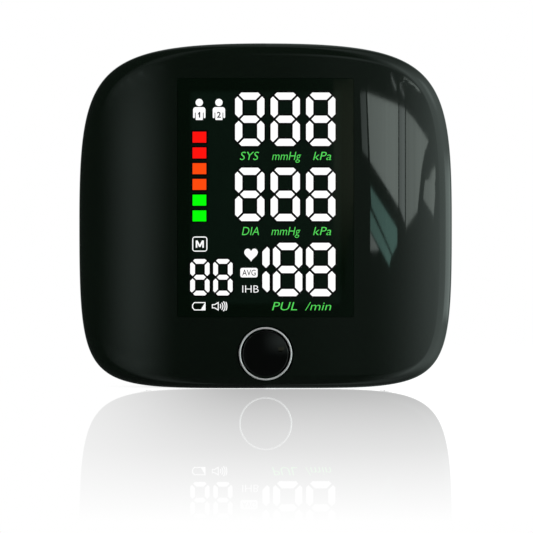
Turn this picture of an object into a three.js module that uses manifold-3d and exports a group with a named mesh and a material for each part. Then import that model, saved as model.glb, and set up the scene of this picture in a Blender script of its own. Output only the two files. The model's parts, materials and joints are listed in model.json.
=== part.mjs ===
// Wrist blood pressure monitor: a pillow-shaped display unit that holds its boards, pump, valve and cell,
// with a sprung air cuff behind it that closes round the wrist by a hook flap.
// Millimetres. X points to the reader's right, Y away from the reader and Z up.
// The origin lies on the surface that the monitor stands on, under the middle of its box.

import * as THREE from "three";
import { mergeVertices } from "three/addons/utils/BufferGeometryUtils.js";
import Module from "manifold-3d";

// Housing outline, seen from the front
const WIDTH = 78;
const HEIGHT = 72;
const SIDE_HEIGHT = 34.9; // where the housing is widest
const BASE_FLAT = 12; // straight stretch that it stands on
const UPPER_CORNER_ACROSS = 2.8; // the corner handles, as distances from the corners of the outline's box
const UPPER_CORNER_DOWN = 5.4;
const LOWER_CORNER_ACROSS = 0.8;
const LOWER_CORNER_UP = 0.1;

// Housing depth
const DEPTH = 21; // front face to the hollow behind, at the middle
const RIM_DEPTH = 26.5; // front face to the flat rim behind
const PART_DEPTH = 13.5; // front face to the seam between the two shells
const CROWN = 7; // how far the front falls back at the sides
const CROWN_POWER = 2.6;
const EDGE_RADIUS = 2.6;
const REAR_RADIUS = 4;
const DRAFT = 1;
const WALL = 2;
const LIP_HEIGHT = 1.2;
const LIP_WALL = 0.9;

// Clearances
const FIT = 0.3; // round a piece in its opening, and along the seam
const SEAT = 0.1; // under a piece that rests on another

// Case screws and their posts
const POST_RADIUS = 3;
const POST_SIDE = 10.5; // in from the widest point of the sides
const POST_FOOT = 7; // up from the base
const POST_TOP = 10.5; // down from the top
const POST_TOP_SIDE = 13;
const CASE_SCREW = { shank: 1, head: 2.1, headHeight: 1.5, length: 17 };
const SCREW_SINK = 2.2; // how deep a head's seat lies under the back
const SLOT_REACH = 0.67; // arms of a screw's cross slot, as shares of its head
const SLOT_THICK = 0.17;
const SLOT_DEPTH = 0.5;

// Start button and its trim ring
const BUTTON_HEIGHT = 7.2;
const BUTTON_RADIUS = 4.8;
const BUTTON_DOME = 0.45;
const BUTTON_TRAVEL = 0.8;
const BUTTON_FLANGE = 0.8;
const STEM_RADIUS = 1.6;
const RING_WIDTH = 0.55;
const RING_PROUD = 0.4;
const RING_TAIL = 0.6; // how far the ring reaches behind the wall
const RING_BEVEL = 0.15;

// Display window
const LENS_SIDE = 20.6; // in from the widest point of the sides
const LENS_BELOW_TOP = 7.35;
const LENS_ABOVE_BUTTON = 1.7;
const LENS_FLANGE = 1.2;
const LENS_FLANGE_DEPTH = 1;

// Display module
const MODULE_MARGIN = 0.5; // how far the module reaches past the window
const MASK_DEPTH = 0.8;
const DIFFUSER_DEPTH = 0.9;
const FILTER_DEPTH = 0.3;
const LED_ROOM = 1.8;
const LED_BOARD_DEPTH = 1;
const LED = { across: 1.6, up: 0.9, height: 0.7 };
const LED_COLUMNS = 3;
const LED_ROWS = 4;
const FRAME_WALL = 1;

// Numerals and bars of the display, placed from the middle and the lower edge of the window
const LAYOUT = { width: 36.8, height: 49.8 }; // the window that their sizes and places are drawn for
const DIGIT = { width: 6.28, height: 11.3, bar: 1.67, cut: 0.9, tip: 0.42, gap: 0.28 };
const DIGIT_RIGHT = 11.5;
const DIGIT_PITCH = 7.4;
const PULSE_PITCH = 6.9; // the lowest row stands closer
const LEADING_ONE = 0.08; // middle of the lowest row's leading stroke
const ROW_FOOT = 10.05;
const ROW_PITCH = 15.75;
const ROW_PLACES = 3;
const PULSE_PLACES = 2;
const MEMORY_DIGIT = { width: 4.2, height: 7.75, bar: 1.15, cut: 0.62, tip: 0.3, gap: 0.2 };
const MEMORY_LEFT = -13.7;
const MEMORY_PITCH = 4.8;
const MEMORY_FOOT = 8.4;
const MEMORY_PLACES = 2;
const LEVEL_BAR = { width: 3.14, height: 2.5, pitch: 3.31, left: -13.8, foot: 21.25 };
const BARS_PER_COLOUR = 2;

// Boards and the switch
const BOARD_DEPTH = 1.2;
const BOARD_FOOT = 3.6;
const HEADER = { width: 16, height: 2.5, depth: 1.8 };
const BOARD_POST_RADIUS = 2;
const BOARD_POST_IN = 6; // in from the board's sides
const BOARD_SCREW = { shank: 0.8, head: 1.8, headHeight: 1.2, length: 5 };
const SWITCH = { size: 6, depth: 3.4, plunger: 1.5, out: 1.4, held: 1 };
const CHIP = { size: 8, depth: 1.2, height: 22 };

// Air path
const AIR_BEHIND_BOARD = 3.3;
const AIR_BELOW_TOP = 27.6;
const BARB = { radius: 1.2, length: 3.6, bore: 0.6, gap: 0.5 };
const TUBE = { bore: 1.35, radius: 2.1, slack: 0.3 };
const MANIFOLD_SIZE = 5;
const NIPPLE_RADIUS = 2.2;
const SENSOR = { size: 7, depth: 5 };
const VALVE = { width: 10, depth: 9, height: 10, bore: 2.1, plunger: 1.8, out: 1.5, held: 6, travel: 0.8 };

// Pump, stood on end in the right-hand bay
const PUMP_RADIUS = 6;
const PUMP_WALL = 0.9;
const PUMP_FOOT = 14.8;
const MOTOR_SHARE = 0.625; // of the motor and the head together
const PUMP_CAP = 5;
const SHAFT_RADIUS = 0.75;
const ARMATURE_RADIUS = 4.2;
const SHAFT_HOLE = 1.2;
const ECCENTRIC = { radius: 2.2, offset: 0.9, height: 2 };
const SWASH = { radius: 4.2, depth: 0.9, hole: 0.9, reach: 2.8 };
const DIAPHRAGM = { depth: 1.2, cup: 1.4, stem: 0.6 };

// Cell, stood on end in the left-hand bay
const CELL = { radius: 5.1, belowTop: 17, foot: 11, nub: 1.6, nubHeight: 0.8 };
const CELL_TAB = { size: 6, depth: 0.4 };
const CRADLE_DEPTH = 2;

// Charging socket on the right-hand side
const PORT = { width: 9, depth: 3.2, length: 7.4, wall: 0.35, tongue: 0.7, tongueGap: 1.5, recess: 0.9 };
const PORT_BOARD = { reach: 7, margin: 1, depth: 1, post: 1.5, behind: 1.1412 };

// Speaker low in the back
const SPEAKER = { radius: 3.6, depth: 2.6, magnet: 2.2, magnetDepth: 1.2, rim: 0.9 };
const SOUND_HOLE = 0.5;
const SOUND_HOLES = 6;
const SOUND_REACH = 1.9;

// Cuff, a stack of plies round the wrist
const WRIST_HEIGHT = 52;
const WRIST_DEPTH = 46;
const CUFF_WIDTH = 56;
const LINING = 1.3;
const BLADDER = 1.7;
const BLADDER_SKIN = 0.45;
const CURLER = 0.9;
const OUTER_PLY = 1.2;
const PLY_GAP = 0.3;
const BINDING_WIDTH = 1.6;
const CUFF_START = -118.5; // angles round the loop, from the front, positive over the top
const CUFF_END = 104;
const CURLER_SHORT = 8; // degrees that the curler stops short of the plies' ends
const BLADDER_SHORT = 12;
const BLADDER_WELD = 2; // degrees of welded seam at each end
const BOSS_RADIUS = 2.2;
const BOSS_GAP = 2.7; // from a cuff screw's head to the ribs beside it
const BOSS_RISE = 13;
const CUFF_SCREW = { shank: 0.9, head: 3.2, headHeight: 1.4, length: 4.6 };

// Free end of the cuff: a wing low behind the wrist and a flap that laps over the top
const WING_PLY = 2.5;
const HOOK_PLY = 1;
const WING_START = -119.5;
const WING_END = -181.5;
const FLAP_START = -182.5;
const FLAP_END = -300;
const FLAP_ROUND = 10; // corner radius at the flap's end
const RISE_SWEEP = 118; // degrees over which the free end climbs clear of the fixed end
const HOOK_START = -262;
const HOOK_END = -295;
const HOOK_WIDTH = 40;
const BAND_STEP = 9;

// Smoothness of round shapes
const LOWER_STEPS = 11;
const UPPER_STEPS = 11;
const FACE_RINGS = [0.25, 0.55, 0.8, 1]; // shares of the way from the middle of the front to its edge
const DOME_RINGS = [0, 0.5, 0.9]; // shares of the way from the middle of the button to its edge
const CROWN_STEPS = 12; // facets across the window
const OUTSIDE_STEPS = 3; // facets round an edge that shows
const INSIDE_STEPS = 1;
const ROUND = 12; // sides of a round piece
const BUTTON_SIDES = 36;
const WELD = 1e-5;

// Places worked out from the sizes above
const half = WIDTH / 2;
const frontY = -DEPTH;
const seamY = frontY + PART_DEPTH;
const rimY = frontY + RIM_DEPTH;
const cuffPlies = LINING + BLADDER + CURLER + OUTER_PLY + 3 * PLY_GAP;
const cuffRise = WRIST_HEIGHT / 2 + cuffPlies;
const cuffReach = WRIST_DEPTH / 2 + cuffPlies;
const cuffZ = cuffRise;
const cuffY = FIT + cuffReach;
const flapLift = PLY_GAP + HOOK_PLY + SEAT + WING_PLY;
const ringInner = BUTTON_RADIUS + FIT;
const ringOuter = ringInner + RING_WIDTH;
const ringTail = WALL + RING_TAIL;
const lensFoot = BUTTON_HEIGHT + ringOuter + FIT + LENS_ABOVE_BUTTON;
const lensHeight = HEIGHT - LENS_BELOW_TOP - lensFoot;
const lensHalf = half - LENS_SIDE;
const layoutAcross = (2 * lensHalf) / LAYOUT.width;
const layoutUp = lensHeight / LAYOUT.height;
const moduleHalf = lensHalf + MODULE_MARGIN;
const moduleFoot = lensFoot - MODULE_MARGIN;
const moduleTop = lensFoot + lensHeight + MODULE_MARGIN;
const frameHalf = moduleHalf + SEAT + FRAME_WALL;
const maskY = faceY(lensHalf + LENS_FLANGE) + WALL + FIT + LENS_FLANGE_DEPTH + SEAT;
const diffuserY = maskY + MASK_DEPTH + SEAT;
const ledBoardY = diffuserY + DIFFUSER_DEPTH + LED_ROOM;
const boardY = ledBoardY + LED_BOARD_DEPTH + HEADER.depth;
const boardBackY = boardY + BOARD_DEPTH;
const airY = boardBackY + AIR_BEHIND_BOARD;
const barbPair = 2 * BARB.length + BARB.gap; // from one block to the next along a tube
const airZ = HEIGHT - AIR_BELOW_TOP;
const nippleZ = airZ - MANIFOLD_SIZE / 2 - barbPair - NIPPLE_RADIUS;
const bayX = (frameHalf + half - WALL) / 2;
const pumpY = -WALL - FIT - PUMP_RADIUS;
const pumpCapZ = airZ - PUMP_CAP / 2 - PUMP_FOOT; // the pump's heights from its own foot, down from its cap
const diaphragmZ = pumpCapZ - SEAT - DIAPHRAGM.depth;
const motorLength = MOTOR_SHARE * (diaphragmZ - 2 * SEAT);
const headZ = motorLength + SEAT;
const headLength = diaphragmZ - SEAT - headZ;
const pumpTop = airZ + PUMP_CAP / 2;
const portZ = pumpTop + FIT + PORT.width / 2;
const bossSide = bayX - PUMP_RADIUS - 2 * FIT - BOSS_GAP - CUFF_SCREW.head;
const cellY = -WALL - FIT - CELL.radius;
const cellLength = HEIGHT - CELL.belowTop - CELL.foot;
const speakerZ = DRAFT + REAR_RADIUS + FIT + SPEAKER.radius;

const wasm = await Module();
wasm.setup();

// Joining and cutting

// A closed three.js geometry, turned to face outwards, as a solid that can be joined and cut.
function solid(geometry) {
  const bare = geometry.clone();
  bare.deleteAttribute("normal");
  bare.deleteAttribute("uv");
  const merged = mergeVertices(bare, WELD);
  const places = merged.attributes.position.array;
  const corners = Uint32Array.from(merged.index.array);
  let volume = 0;
  for (let i = 0; i < corners.length; i += 3) {
    const [a, b, c] = [0, 1, 2].map((k) => new THREE.Vector3().fromArray(places, 3 * corners[i + k]));
    volume += a.dot(b.cross(c));
  }
  if (volume < 0) {
    for (let i = 0; i < corners.length; i += 3) [corners[i], corners[i + 1]] = [corners[i + 1], corners[i]];
  }
  const mesh = new wasm.Mesh({ numProp: 3, vertProperties: Float32Array.from(places), triVerts: corners });
  return new wasm.Manifold(mesh);
}

function joined(...solids) {
  return solids.reduce((whole, next) => whole.add(next));
}

function cut(whole, ...tools) {
  return tools.reduce((rest, tool) => rest.subtract(tool), whole);
}

function geometryOf(shape) {
  const mesh = shape.getMesh();
  const geometry = new THREE.BufferGeometry();
  geometry.setAttribute("position", new THREE.BufferAttribute(Float32Array.from(mesh.vertProperties), 3));
  geometry.setIndex(new THREE.BufferAttribute(Uint32Array.from(mesh.triVerts), 1));
  geometry.computeVertexNormals();
  return geometry;
}

// Plain shapes

function block([x0, x1], [y0, y1], [z0, z1]) {
  const box = new THREE.BoxGeometry(x1 - x0, y1 - y0, z1 - z0);
  return solid(box.translate((x0 + x1) / 2, (y0 + y1) / 2, (z0 + z1) / 2));
}

// A round bar along one axis, from one end to the other, with its centre line at the two other coordinates.
function bar(axis, radius, [from, to], [p, q] = [0, 0], sides = ROUND) {
  const rod = new THREE.CylinderGeometry(radius, radius, to - from, sides);
  rod.translate(0, (from + to) / 2, 0);
  if (axis === "x") return solid(rod.rotateZ(-Math.PI / 2).translate(0, p, q));
  if (axis === "y") return solid(rod.translate(p, 0, q));
  return solid(rod.rotateX(Math.PI / 2).translate(p, q, 0));
}

// A profile of [radius, place along the axis] points, turned about the Y or the Z axis.
function turned(axis, profile, sides = ROUND) {
  const lathe = new THREE.LatheGeometry(profile.map(([r, y]) => new THREE.Vector2(r, y)), sides);
  return solid(axis === "z" ? lathe.rotateX(Math.PI / 2) : lathe);
}

// A flat plate from an outline in X and Z, from its front to its back.
function plate(points, [front, back]) {
  const shape = new THREE.Shape(points.map(([x, z]) => new THREE.Vector2(x, z)));
  const slab = new THREE.ExtrudeGeometry(shape, { depth: back - front, bevelEnabled: false });
  return solid(slab.rotateX(Math.PI / 2).translate(0, back, 0));
}

function rectangle(width, height, x = 0, z = 0) {
  const [w, h] = [width / 2, height / 2];
  return [[x - w, z - h], [x + w, z - h], [x + w, z + h], [x - w, z + h]];
}

// A closed skin over rings of equally many points, with a fan to a pole at each end.
function skin(rings, poles = [rings[0], rings.at(-1)].map(middle)) {
  const count = rings[0].length;
  const points = [...rings.flat(), ...poles];
  const [firstPole, lastPole] = [points.length - 2, points.length - 1];
  const lastRing = (rings.length - 1) * count;
  const corners = [];
  for (let i = 0; i < count; i++) {
    const next = (i + 1) % count;
    for (let ring = 0; ring < lastRing; ring += count) {
      corners.push(ring + i, ring + next, ring + count + next);
      corners.push(ring + i, ring + count + next, ring + count + i);
    }
    corners.push(firstPole, next, i);
    corners.push(lastPole, lastRing + i, lastRing + next);
  }
  const geometry = new THREE.BufferGeometry().setFromPoints(points);
  geometry.setIndex(corners);
  return solid(geometry);
}

function middle(ring) {
  return ring.reduce((sum, point) => sum.add(point), new THREE.Vector3()).divideScalar(ring.length);
}

// Housing shapes

function faceY(x) {
  return frontY + CROWN * Math.pow(Math.abs(x) / half, CROWN_POWER);
}

// The housing's edge as [x, z] points, drawn in square to itself by an inset.
function outline(inset) {
  const corner = (across, up) => new THREE.Vector2(across, up);
  const lower = new THREE.CubicBezierCurve(
    corner(BASE_FLAT / 2, 0),
    corner(half - LOWER_CORNER_ACROSS, 0),
    corner(half, LOWER_CORNER_UP),
    corner(half, SIDE_HEIGHT),
  );
  const upper = new THREE.CubicBezierCurve(
    corner(half, SIDE_HEIGHT),
    corner(half, HEIGHT - UPPER_CORNER_DOWN),
    corner(half - UPPER_CORNER_ACROSS, HEIGHT),
    corner(0, HEIGHT),
  );
  const right = [];
  const walk = (curve, steps, last) => {
    for (let i = 0; i <= last; i++) {
      const along = curve.getTangent(i / steps);
      const place = curve.getPoint(i / steps);
      right.push([place.x - inset * along.y, place.y + inset * along.x]);
    }
  };
  walk(lower, LOWER_STEPS, LOWER_STEPS - 1);
  walk(upper, UPPER_STEPS, UPPER_STEPS - 1);
  const left = right.map(([x, z]) => [-x, z]).reverse();
  return [...right, [0, HEIGHT - inset], ...left];
}

function ring(points, yAt) {
  return points.map(([x, z]) => new THREE.Vector3(x, yAt(x), z));
}

// Rings over the crowned front, from the middle out to an edge.
function faceRings(inset, lift) {
  const edge = outline(inset);
  return FACE_RINGS.map((share) => {
    const points = edge.map(([x, z]) => [share * x, SIDE_HEIGHT + share * (z - SIDE_HEIGHT)]);
    return ring(points, (x) => faceY(x) + lift);
  });
}

// The front half of the housing as a full body, its skin drawn in by a margin on every side.
function frontBody(margin, endY, steps) {
  const radius = Math.max(EDGE_RADIUS - margin, FIT);
  const rings = faceRings(margin + radius, margin);
  for (let i = 1; i <= steps; i++) {
    const turn = (i / steps) * (Math.PI / 2);
    const drop = margin + radius * (1 - Math.cos(turn));
    rings.push(ring(outline(margin + radius * (1 - Math.sin(turn))), (x) => faceY(x) + drop));
  }
  const last = ring(outline(margin), () => endY);
  const poles = [new THREE.Vector3(0, frontY + margin, SIDE_HEIGHT), middle(last)];
  return skin([...rings, last], poles);
}

// The rear half as a full body with a flat back, its skin drawn in by a margin.
// Its mouth has rings of its own, each an inset and a place in Y.
function rearBody(margin, mouth, steps) {
  const radius = Math.max(REAR_RADIUS - margin, FIT);
  const backY = rimY - margin;
  const rings = mouth.map(([inset, y]) => ring(outline(inset), () => y));
  for (let i = 0; i <= steps; i++) {
    const turn = (i / steps) * (Math.PI / 2);
    const y = backY - radius * (1 - Math.sin(turn));
    rings.push(ring(outline(margin + DRAFT + radius * (1 - Math.cos(turn))), () => y));
  }
  return skin(rings);
}

// A straight wall that follows the outline, between two insets.
function edgeBand(outer, inner, [y0, y1]) {
  const slab = (inset, from, to) => skin([from, to].map((y) => ring(outline(inset), () => y)));
  return cut(slab(outer, y0, y1), slab(inner, y0 - FIT, y1 + FIT));
}

// The cuff's outer face, grown by an offset, as a bar across the housing.
function saddle(offset) {
  const loop = [];
  for (let angle = 0; angle < 360; angle += BAND_STEP) {
    const place = cuffPoint(angle, offset);
    loop.push([place.x + cuffY, place.y + cuffZ]);
  }
  return skin([-WIDTH, WIDTH].map((x) => loop.map(([y, z]) => new THREE.Vector3(x, y, z))));
}

// Where the loop's near side lies in Y, a height above its middle.
function saddleY(rise, offset) {
  const share = rise / (cuffRise + offset);
  return cuffY - (cuffReach + offset) * Math.sqrt(1 - share * share);
}

const postPlaces = [
  [half - POST_SIDE, POST_FOOT],
  [half - POST_TOP_SIDE, HEIGHT - POST_TOP],
  [POST_TOP_SIDE - half, HEIGHT - POST_TOP],
  [POST_SIDE - half, POST_FOOT],
];
const quarters = [[1, 1], [-1, 1], [-1, -1], [1, -1]];
const bossPlaces = quarters.map(([x, z]) => [x * bossSide, cuffZ + z * BOSS_RISE]);
const boardPostPlaces = [1, -1].map((side) => [side * (frameHalf - BOARD_POST_IN), BUTTON_HEIGHT]);
const headSeatY = rimY - SCREW_SINK;
const padY = saddleY(BOSS_RISE, FIT + WALL) - FIT - WALL / 2; // flat pads that the cuff's screws bear on

// Pieces

const monitor = new THREE.Group();
const body = new THREE.Group();
const freeAngles = [...bandAngles(WING_END, WING_START), ...bandAngles(FLAP_END, FLAP_START)];
const backY = cuffY + Math.max(...freeAngles.map((angle) => cuffPoint(angle, freeLift(angle)).x));
body.position.y = -(frontY - BUTTON_DOME + backY) / 2;
monitor.add(body);

function piece(group, name, shape, material, place = [0, 0, 0]) {
  const mesh = new THREE.Mesh(geometryOf(shape), material);
  mesh.name = name;
  mesh.position.set(...place);
  group.add(mesh);
}

function group(x, y, z) {
  const part = new THREE.Group();
  part.position.set(x, y, z);
  body.add(part);
  return part;
}

function finish(color, roughness, metalness = 0) {
  return new THREE.MeshStandardMaterial({ color, roughness, metalness });
}

const glossBlack = finish(0x0b100d, 0.12);
const smoked = finish(0x070b09, 0.08);
const chrome = finish(0xd0d2d4, 0.15, 1);
const mattBlack = finish(0x17191a, 0.55);
const darkPlastic = finish(0x26292b, 0.6);
const paleDiffuser = finish(0xf2f4f2, 0.5);
const red = finish(0xff1408, 0.4);
const orange = finish(0xff7a10, 0.4);
const green = finish(0x20e020, 0.4);
const levelColours = [["green", green], ["orange", orange], ["red", red]]; // from the foot up
const boardGreen = finish(0x1c4f33, 0.5);
const chipBlack = finish(0x1b1c1e, 0.45);
const steel = finish(0x9a9da0, 0.3, 1);
const zinc = finish(0xb9bcc0, 0.35, 1);
const copper = finish(0xb87345, 0.35, 1);
const paleNylon = finish(0xd9d9d2, 0.55);
const silicone = finish(0xd2d5d6, 0.7);
const rubberBlack = finish(0x202122, 0.8);
const cellWrap = finish(0x2c5f94, 0.4);
const fabricBlack = finish(0x1a1b1d, 0.95);
const fabricGrey = finish(0x3a3c40, 0.95);
const bladderSkin = finish(0x55585c, 0.6);

// A machine screw along Y with a cross slot, its head behind its seat at y = 0.
function screw({ shank, head, headHeight, length }) {
  const profile = [
    [0, -length],
    [shank, -length],
    [shank, 0],
    [head, 0],
    [head, headHeight],
    [0, headHeight],
  ];
  const reach = SLOT_REACH * head;
  const thick = SLOT_THICK * head;
  const depth = SLOT_DEPTH * headHeight;
  const arm = (wide, tall) => block([-wide, wide], [headHeight - depth, headHeight + depth], [-tall, tall]);
  return cut(turned("y", profile), arm(reach, thick), arm(thick, reach));
}

function addHousing() {
  const cover = frontBody(0, seamY, OUTSIDE_STEPS);
  const bosses = postPlaces.map((place) => bar("y", POST_RADIUS, [frontY, seamY], place));
  const boardPosts = boardPostPlaces.map((place) =>
    bar("y", BOARD_POST_RADIUS, [frontY, boardY - SEAT], place));
  const pilots = postPlaces.map((place) => {
    const tip = headSeatY - CASE_SCREW.length;
    return bar("y", CASE_SCREW.shank + SEAT, [tip - FIT, seamY + FIT], place);
  });
  const boardPilots = boardPostPlaces.map((place) => {
    const tip = boardBackY + SEAT - BOARD_SCREW.length;
    return bar("y", BOARD_SCREW.shank + SEAT, [tip - FIT, boardY], place);
  });
  const buttonRoom = ringTail + FIT + BUTTON_FLANGE + BUTTON_TRAVEL + FIT;
  const openings = [
    block(
      [-lensHalf - FIT, lensHalf + FIT],
      [frontY - WALL, faceY(lensHalf + FIT) + 2 * WALL],
      [lensFoot - FIT, lensFoot + lensHeight + FIT],
    ),
    bar("y", ringOuter + FIT, [frontY - WALL, frontY + buttonRoom], [0, BUTTON_HEIGHT], BUTTON_SIDES),
  ];
  const shell = cut(cover, frontBody(WALL, seamY + FIT, INSIDE_STEPS));
  const posts = joined(...bosses, ...boardPosts).intersect(cover);
  piece(body, "front_cover", cut(joined(shell, posts), ...pilots, ...boardPilots, ...openings), glossBlack);

  const startY = seamY + FIT;
  const full = cut(rearBody(0, [[0, startY]], OUTSIDE_STEPS), saddle(FIT));
  const lipInner = WALL + FIT + LIP_WALL;
  const lipMouth = [
    [lipInner, seamY - LIP_HEIGHT],
    [lipInner, startY + LIP_HEIGHT],
    [WALL, startY + 2 * LIP_HEIGHT],
  ];
  const room = cut(rearBody(WALL, lipMouth, INSIDE_STEPS), saddle(FIT + WALL));
  const bossRoom = postPlaces.map((place) =>
    bar("y", POST_RADIUS + FIT, [seamY - 2 * LIP_HEIGHT, startY], place));
  const lipWall = edgeBand(WALL + FIT, lipInner, [seamY - LIP_HEIGHT, startY + LIP_HEIGHT / 2]);
  const lip = cut(lipWall, ...bossRoom);
  const rearPosts = postPlaces.map((place) => bar("y", POST_RADIUS, [startY, rimY], place));
  const pads = bossPlaces.map((place) => bar("y", BOSS_RADIUS + FIT + WALL / 2, [padY, rimY], place));
  const fixed = joined(...rearPosts, ...pads, ...cradles(), portPost()).intersect(full);
  const holes = [
    ...postPlaces.map((place) => bar("y", CASE_SCREW.shank + FIT, [startY - FIT, rimY + FIT], place)),
    ...postPlaces.map((place) => bar("y", CASE_SCREW.head + FIT, [headSeatY, rimY + FIT], place)),
    ...bossPlaces.map((place) => bar("y", BOSS_RADIUS + FIT, [padY - FIT, rimY], place)),
    bar("y", NIPPLE_RADIUS + FIT, [-2 * WALL, WALL], [0, nippleZ]),
    portSlot(),
    ...soundHoles(),
  ];
  piece(body, "rear_case", cut(joined(cut(full, room), lip, fixed), ...holes), mattBlack);

  postPlaces.forEach((place, i) => {
    piece(body, `case_screw_${i + 1}`, screw(CASE_SCREW), steel, [place[0], headSeatY + SEAT, place[1]]);
  });
}

// Cross ribs in the rear case that the pump and the cell lie in.
function cradles() {
  const rib = (x, y, radius, z) => {
    const reach = radius + 2 * FIT;
    const web = block([x - reach, x + reach], [y, rimY], [z, z + CRADLE_DEPTH]);
    return cut(web, bar("z", radius + FIT, [z - FIT, z + CRADLE_DEPTH + FIT], [x, y]));
  };
  return [
    rib(bayX, pumpY, PUMP_RADIUS, PUMP_FOOT + 2 * CRADLE_DEPTH),
    rib(bayX, pumpY, PUMP_RADIUS, PUMP_FOOT + headZ + 2 * CRADLE_DEPTH),
    rib(-bayX, cellY, CELL.radius, CELL.foot + 2 * CRADLE_DEPTH),
    rib(-bayX, cellY, CELL.radius, CELL.foot + cellLength - 3 * CRADLE_DEPTH),
  ];
}

function addButton() {
  const part = group(0, frontY, BUTTON_HEIGHT);
  const top = -RING_PROUD;
  const ringProfile = [
    [ringInner, ringTail],
    [ringOuter, ringTail],
    [ringOuter, top + RING_BEVEL],
    [ringOuter - RING_BEVEL, top],
    [ringInner + RING_BEVEL, top],
    [ringInner, top + RING_BEVEL],
    [ringInner, ringTail],
  ];
  piece(part, "button_ring", turned("y", ringProfile, BUTTON_SIDES), chrome);

  const flangeY = ringTail + FIT;
  const flangeRadius = (ringInner + ringOuter) / 2;
  const stemY = boardY - SEAT - SWITCH.depth - SWITCH.out - SEAT - frontY;
  const rise = (share) => -BUTTON_DOME * (1 - share * share);
  const dome = DOME_RINGS.map((share) => [share * BUTTON_RADIUS, rise(share)]);
  const capProfile = [
    ...dome,
    [BUTTON_RADIUS, RING_BEVEL],
    [BUTTON_RADIUS, flangeY],
    [flangeRadius, flangeY],
    [flangeRadius, flangeY + BUTTON_FLANGE],
    [STEM_RADIUS, flangeY + BUTTON_FLANGE],
    [STEM_RADIUS, stemY],
    [0, stemY],
  ];
  piece(part, "start_button", turned("y", capProfile, BUTTON_SIDES), glossBlack);
}

// A slab that follows the crowned front, between two depths behind it.
function crownedSlab(halfWidth, [z0, z1], [from, to]) {
  const front = [];
  const back = [];
  for (let i = 0; i <= CROWN_STEPS; i++) {
    const x = halfWidth * ((2 * i) / CROWN_STEPS - 1);
    front.push([x, faceY(x) + from]);
    back.unshift([x, faceY(x) + to]);
  }
  return skin([z0, z1].map((z) => [...front, ...back].map(([x, y]) => new THREE.Vector3(x, y, z))));
}

// The seven bars of one numeral as [x, z] outlines round its middle.
function numeral({ width, height, bar: thick, cut: corner, tip, gap }) {
  const [w, h] = [width / 2, height / 2];
  const miss = gap / Math.SQRT2;
  const point = w - thick + tip; // end of the middle bar
  const shoulder = point + gap * Math.SQRT2 - (w - thick);
  const top = [
    [corner - w, h],
    [w - corner, h],
    [w - (corner + miss) / 2, h - (corner - miss) / 2],
    [w - thick - miss, h - thick],
    [thick + miss - w, h - thick],
    [(corner + miss) / 2 - w, h - (corner - miss) / 2],
  ];
  const side = [
    [w, h - corner],
    [w - (corner - miss) / 2, h - (corner + miss) / 2],
    [w - thick, h - thick - miss],
    [w - thick, shoulder],
    [w - thick + shoulder - gap / 2, gap / 2],
    [w, gap / 2],
  ];
  const centre = [
    [-point, 0],
    [thick / 2 - point, -thick / 2],
    [point - thick / 2, -thick / 2],
    [point, 0],
    [point - thick / 2, thick / 2],
    [thick / 2 - point, thick / 2],
  ];
  const mirror = (points, x, z) => points.map(([px, pz]) => [x * px, z * pz]);
  const sides = [[1, 1], [1, -1], [-1, 1], [-1, -1]].map(([x, z]) => mirror(side, x, z));
  return { level: [top, mirror(top, 1, -1), centre], sides };
}

function shifted(points, x, z) {
  return points.map(([px, pz]) => [px + x, pz + z]);
}

// Windows of the mask: three rows of numerals, the memory count and the level bars.
function maskWindows() {
  const foot = -(moduleTop - moduleFoot) / 2 + MODULE_MARGIN;
  const windows = [];
  const large = numeral(DIGIT);
  const small = numeral(MEMORY_DIGIT);
  const show = (bars, x, z) => bars.forEach((points) => {
    const placed = shifted(points, x, z);
    windows.push(placed.map(([px, pz]) => [layoutAcross * px, foot + layoutUp * pz]));
  });
  const whole = [...large.level, ...large.sides];
  const rows = [
    { places: PULSE_PLACES, pitch: PULSE_PITCH },
    { places: ROW_PLACES, pitch: DIGIT_PITCH },
    { places: ROW_PLACES, pitch: DIGIT_PITCH },
  ];
  rows.forEach(({ places, pitch }, row) => {
    for (let place = 0; place < places; place++) {
      show(whole, DIGIT_RIGHT - place * pitch, ROW_FOOT + row * ROW_PITCH);
    }
  });
  const [upperRight, lowerRight] = large.sides;
  show([upperRight, lowerRight], LEADING_ONE - (DIGIT.width - DIGIT.bar) / 2, ROW_FOOT);
  for (let place = 0; place < MEMORY_PLACES; place++) {
    show([...small.level, ...small.sides], MEMORY_LEFT + place * MEMORY_PITCH, MEMORY_FOOT);
  }
  const level = [rectangle(LEVEL_BAR.width, LEVEL_BAR.height)];
  for (let step = 0; step < levelColours.length * BARS_PER_COLOUR; step++) {
    show(level, LEVEL_BAR.left, LEVEL_BAR.foot + step * LEVEL_BAR.pitch);
  }
  return windows;
}

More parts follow.
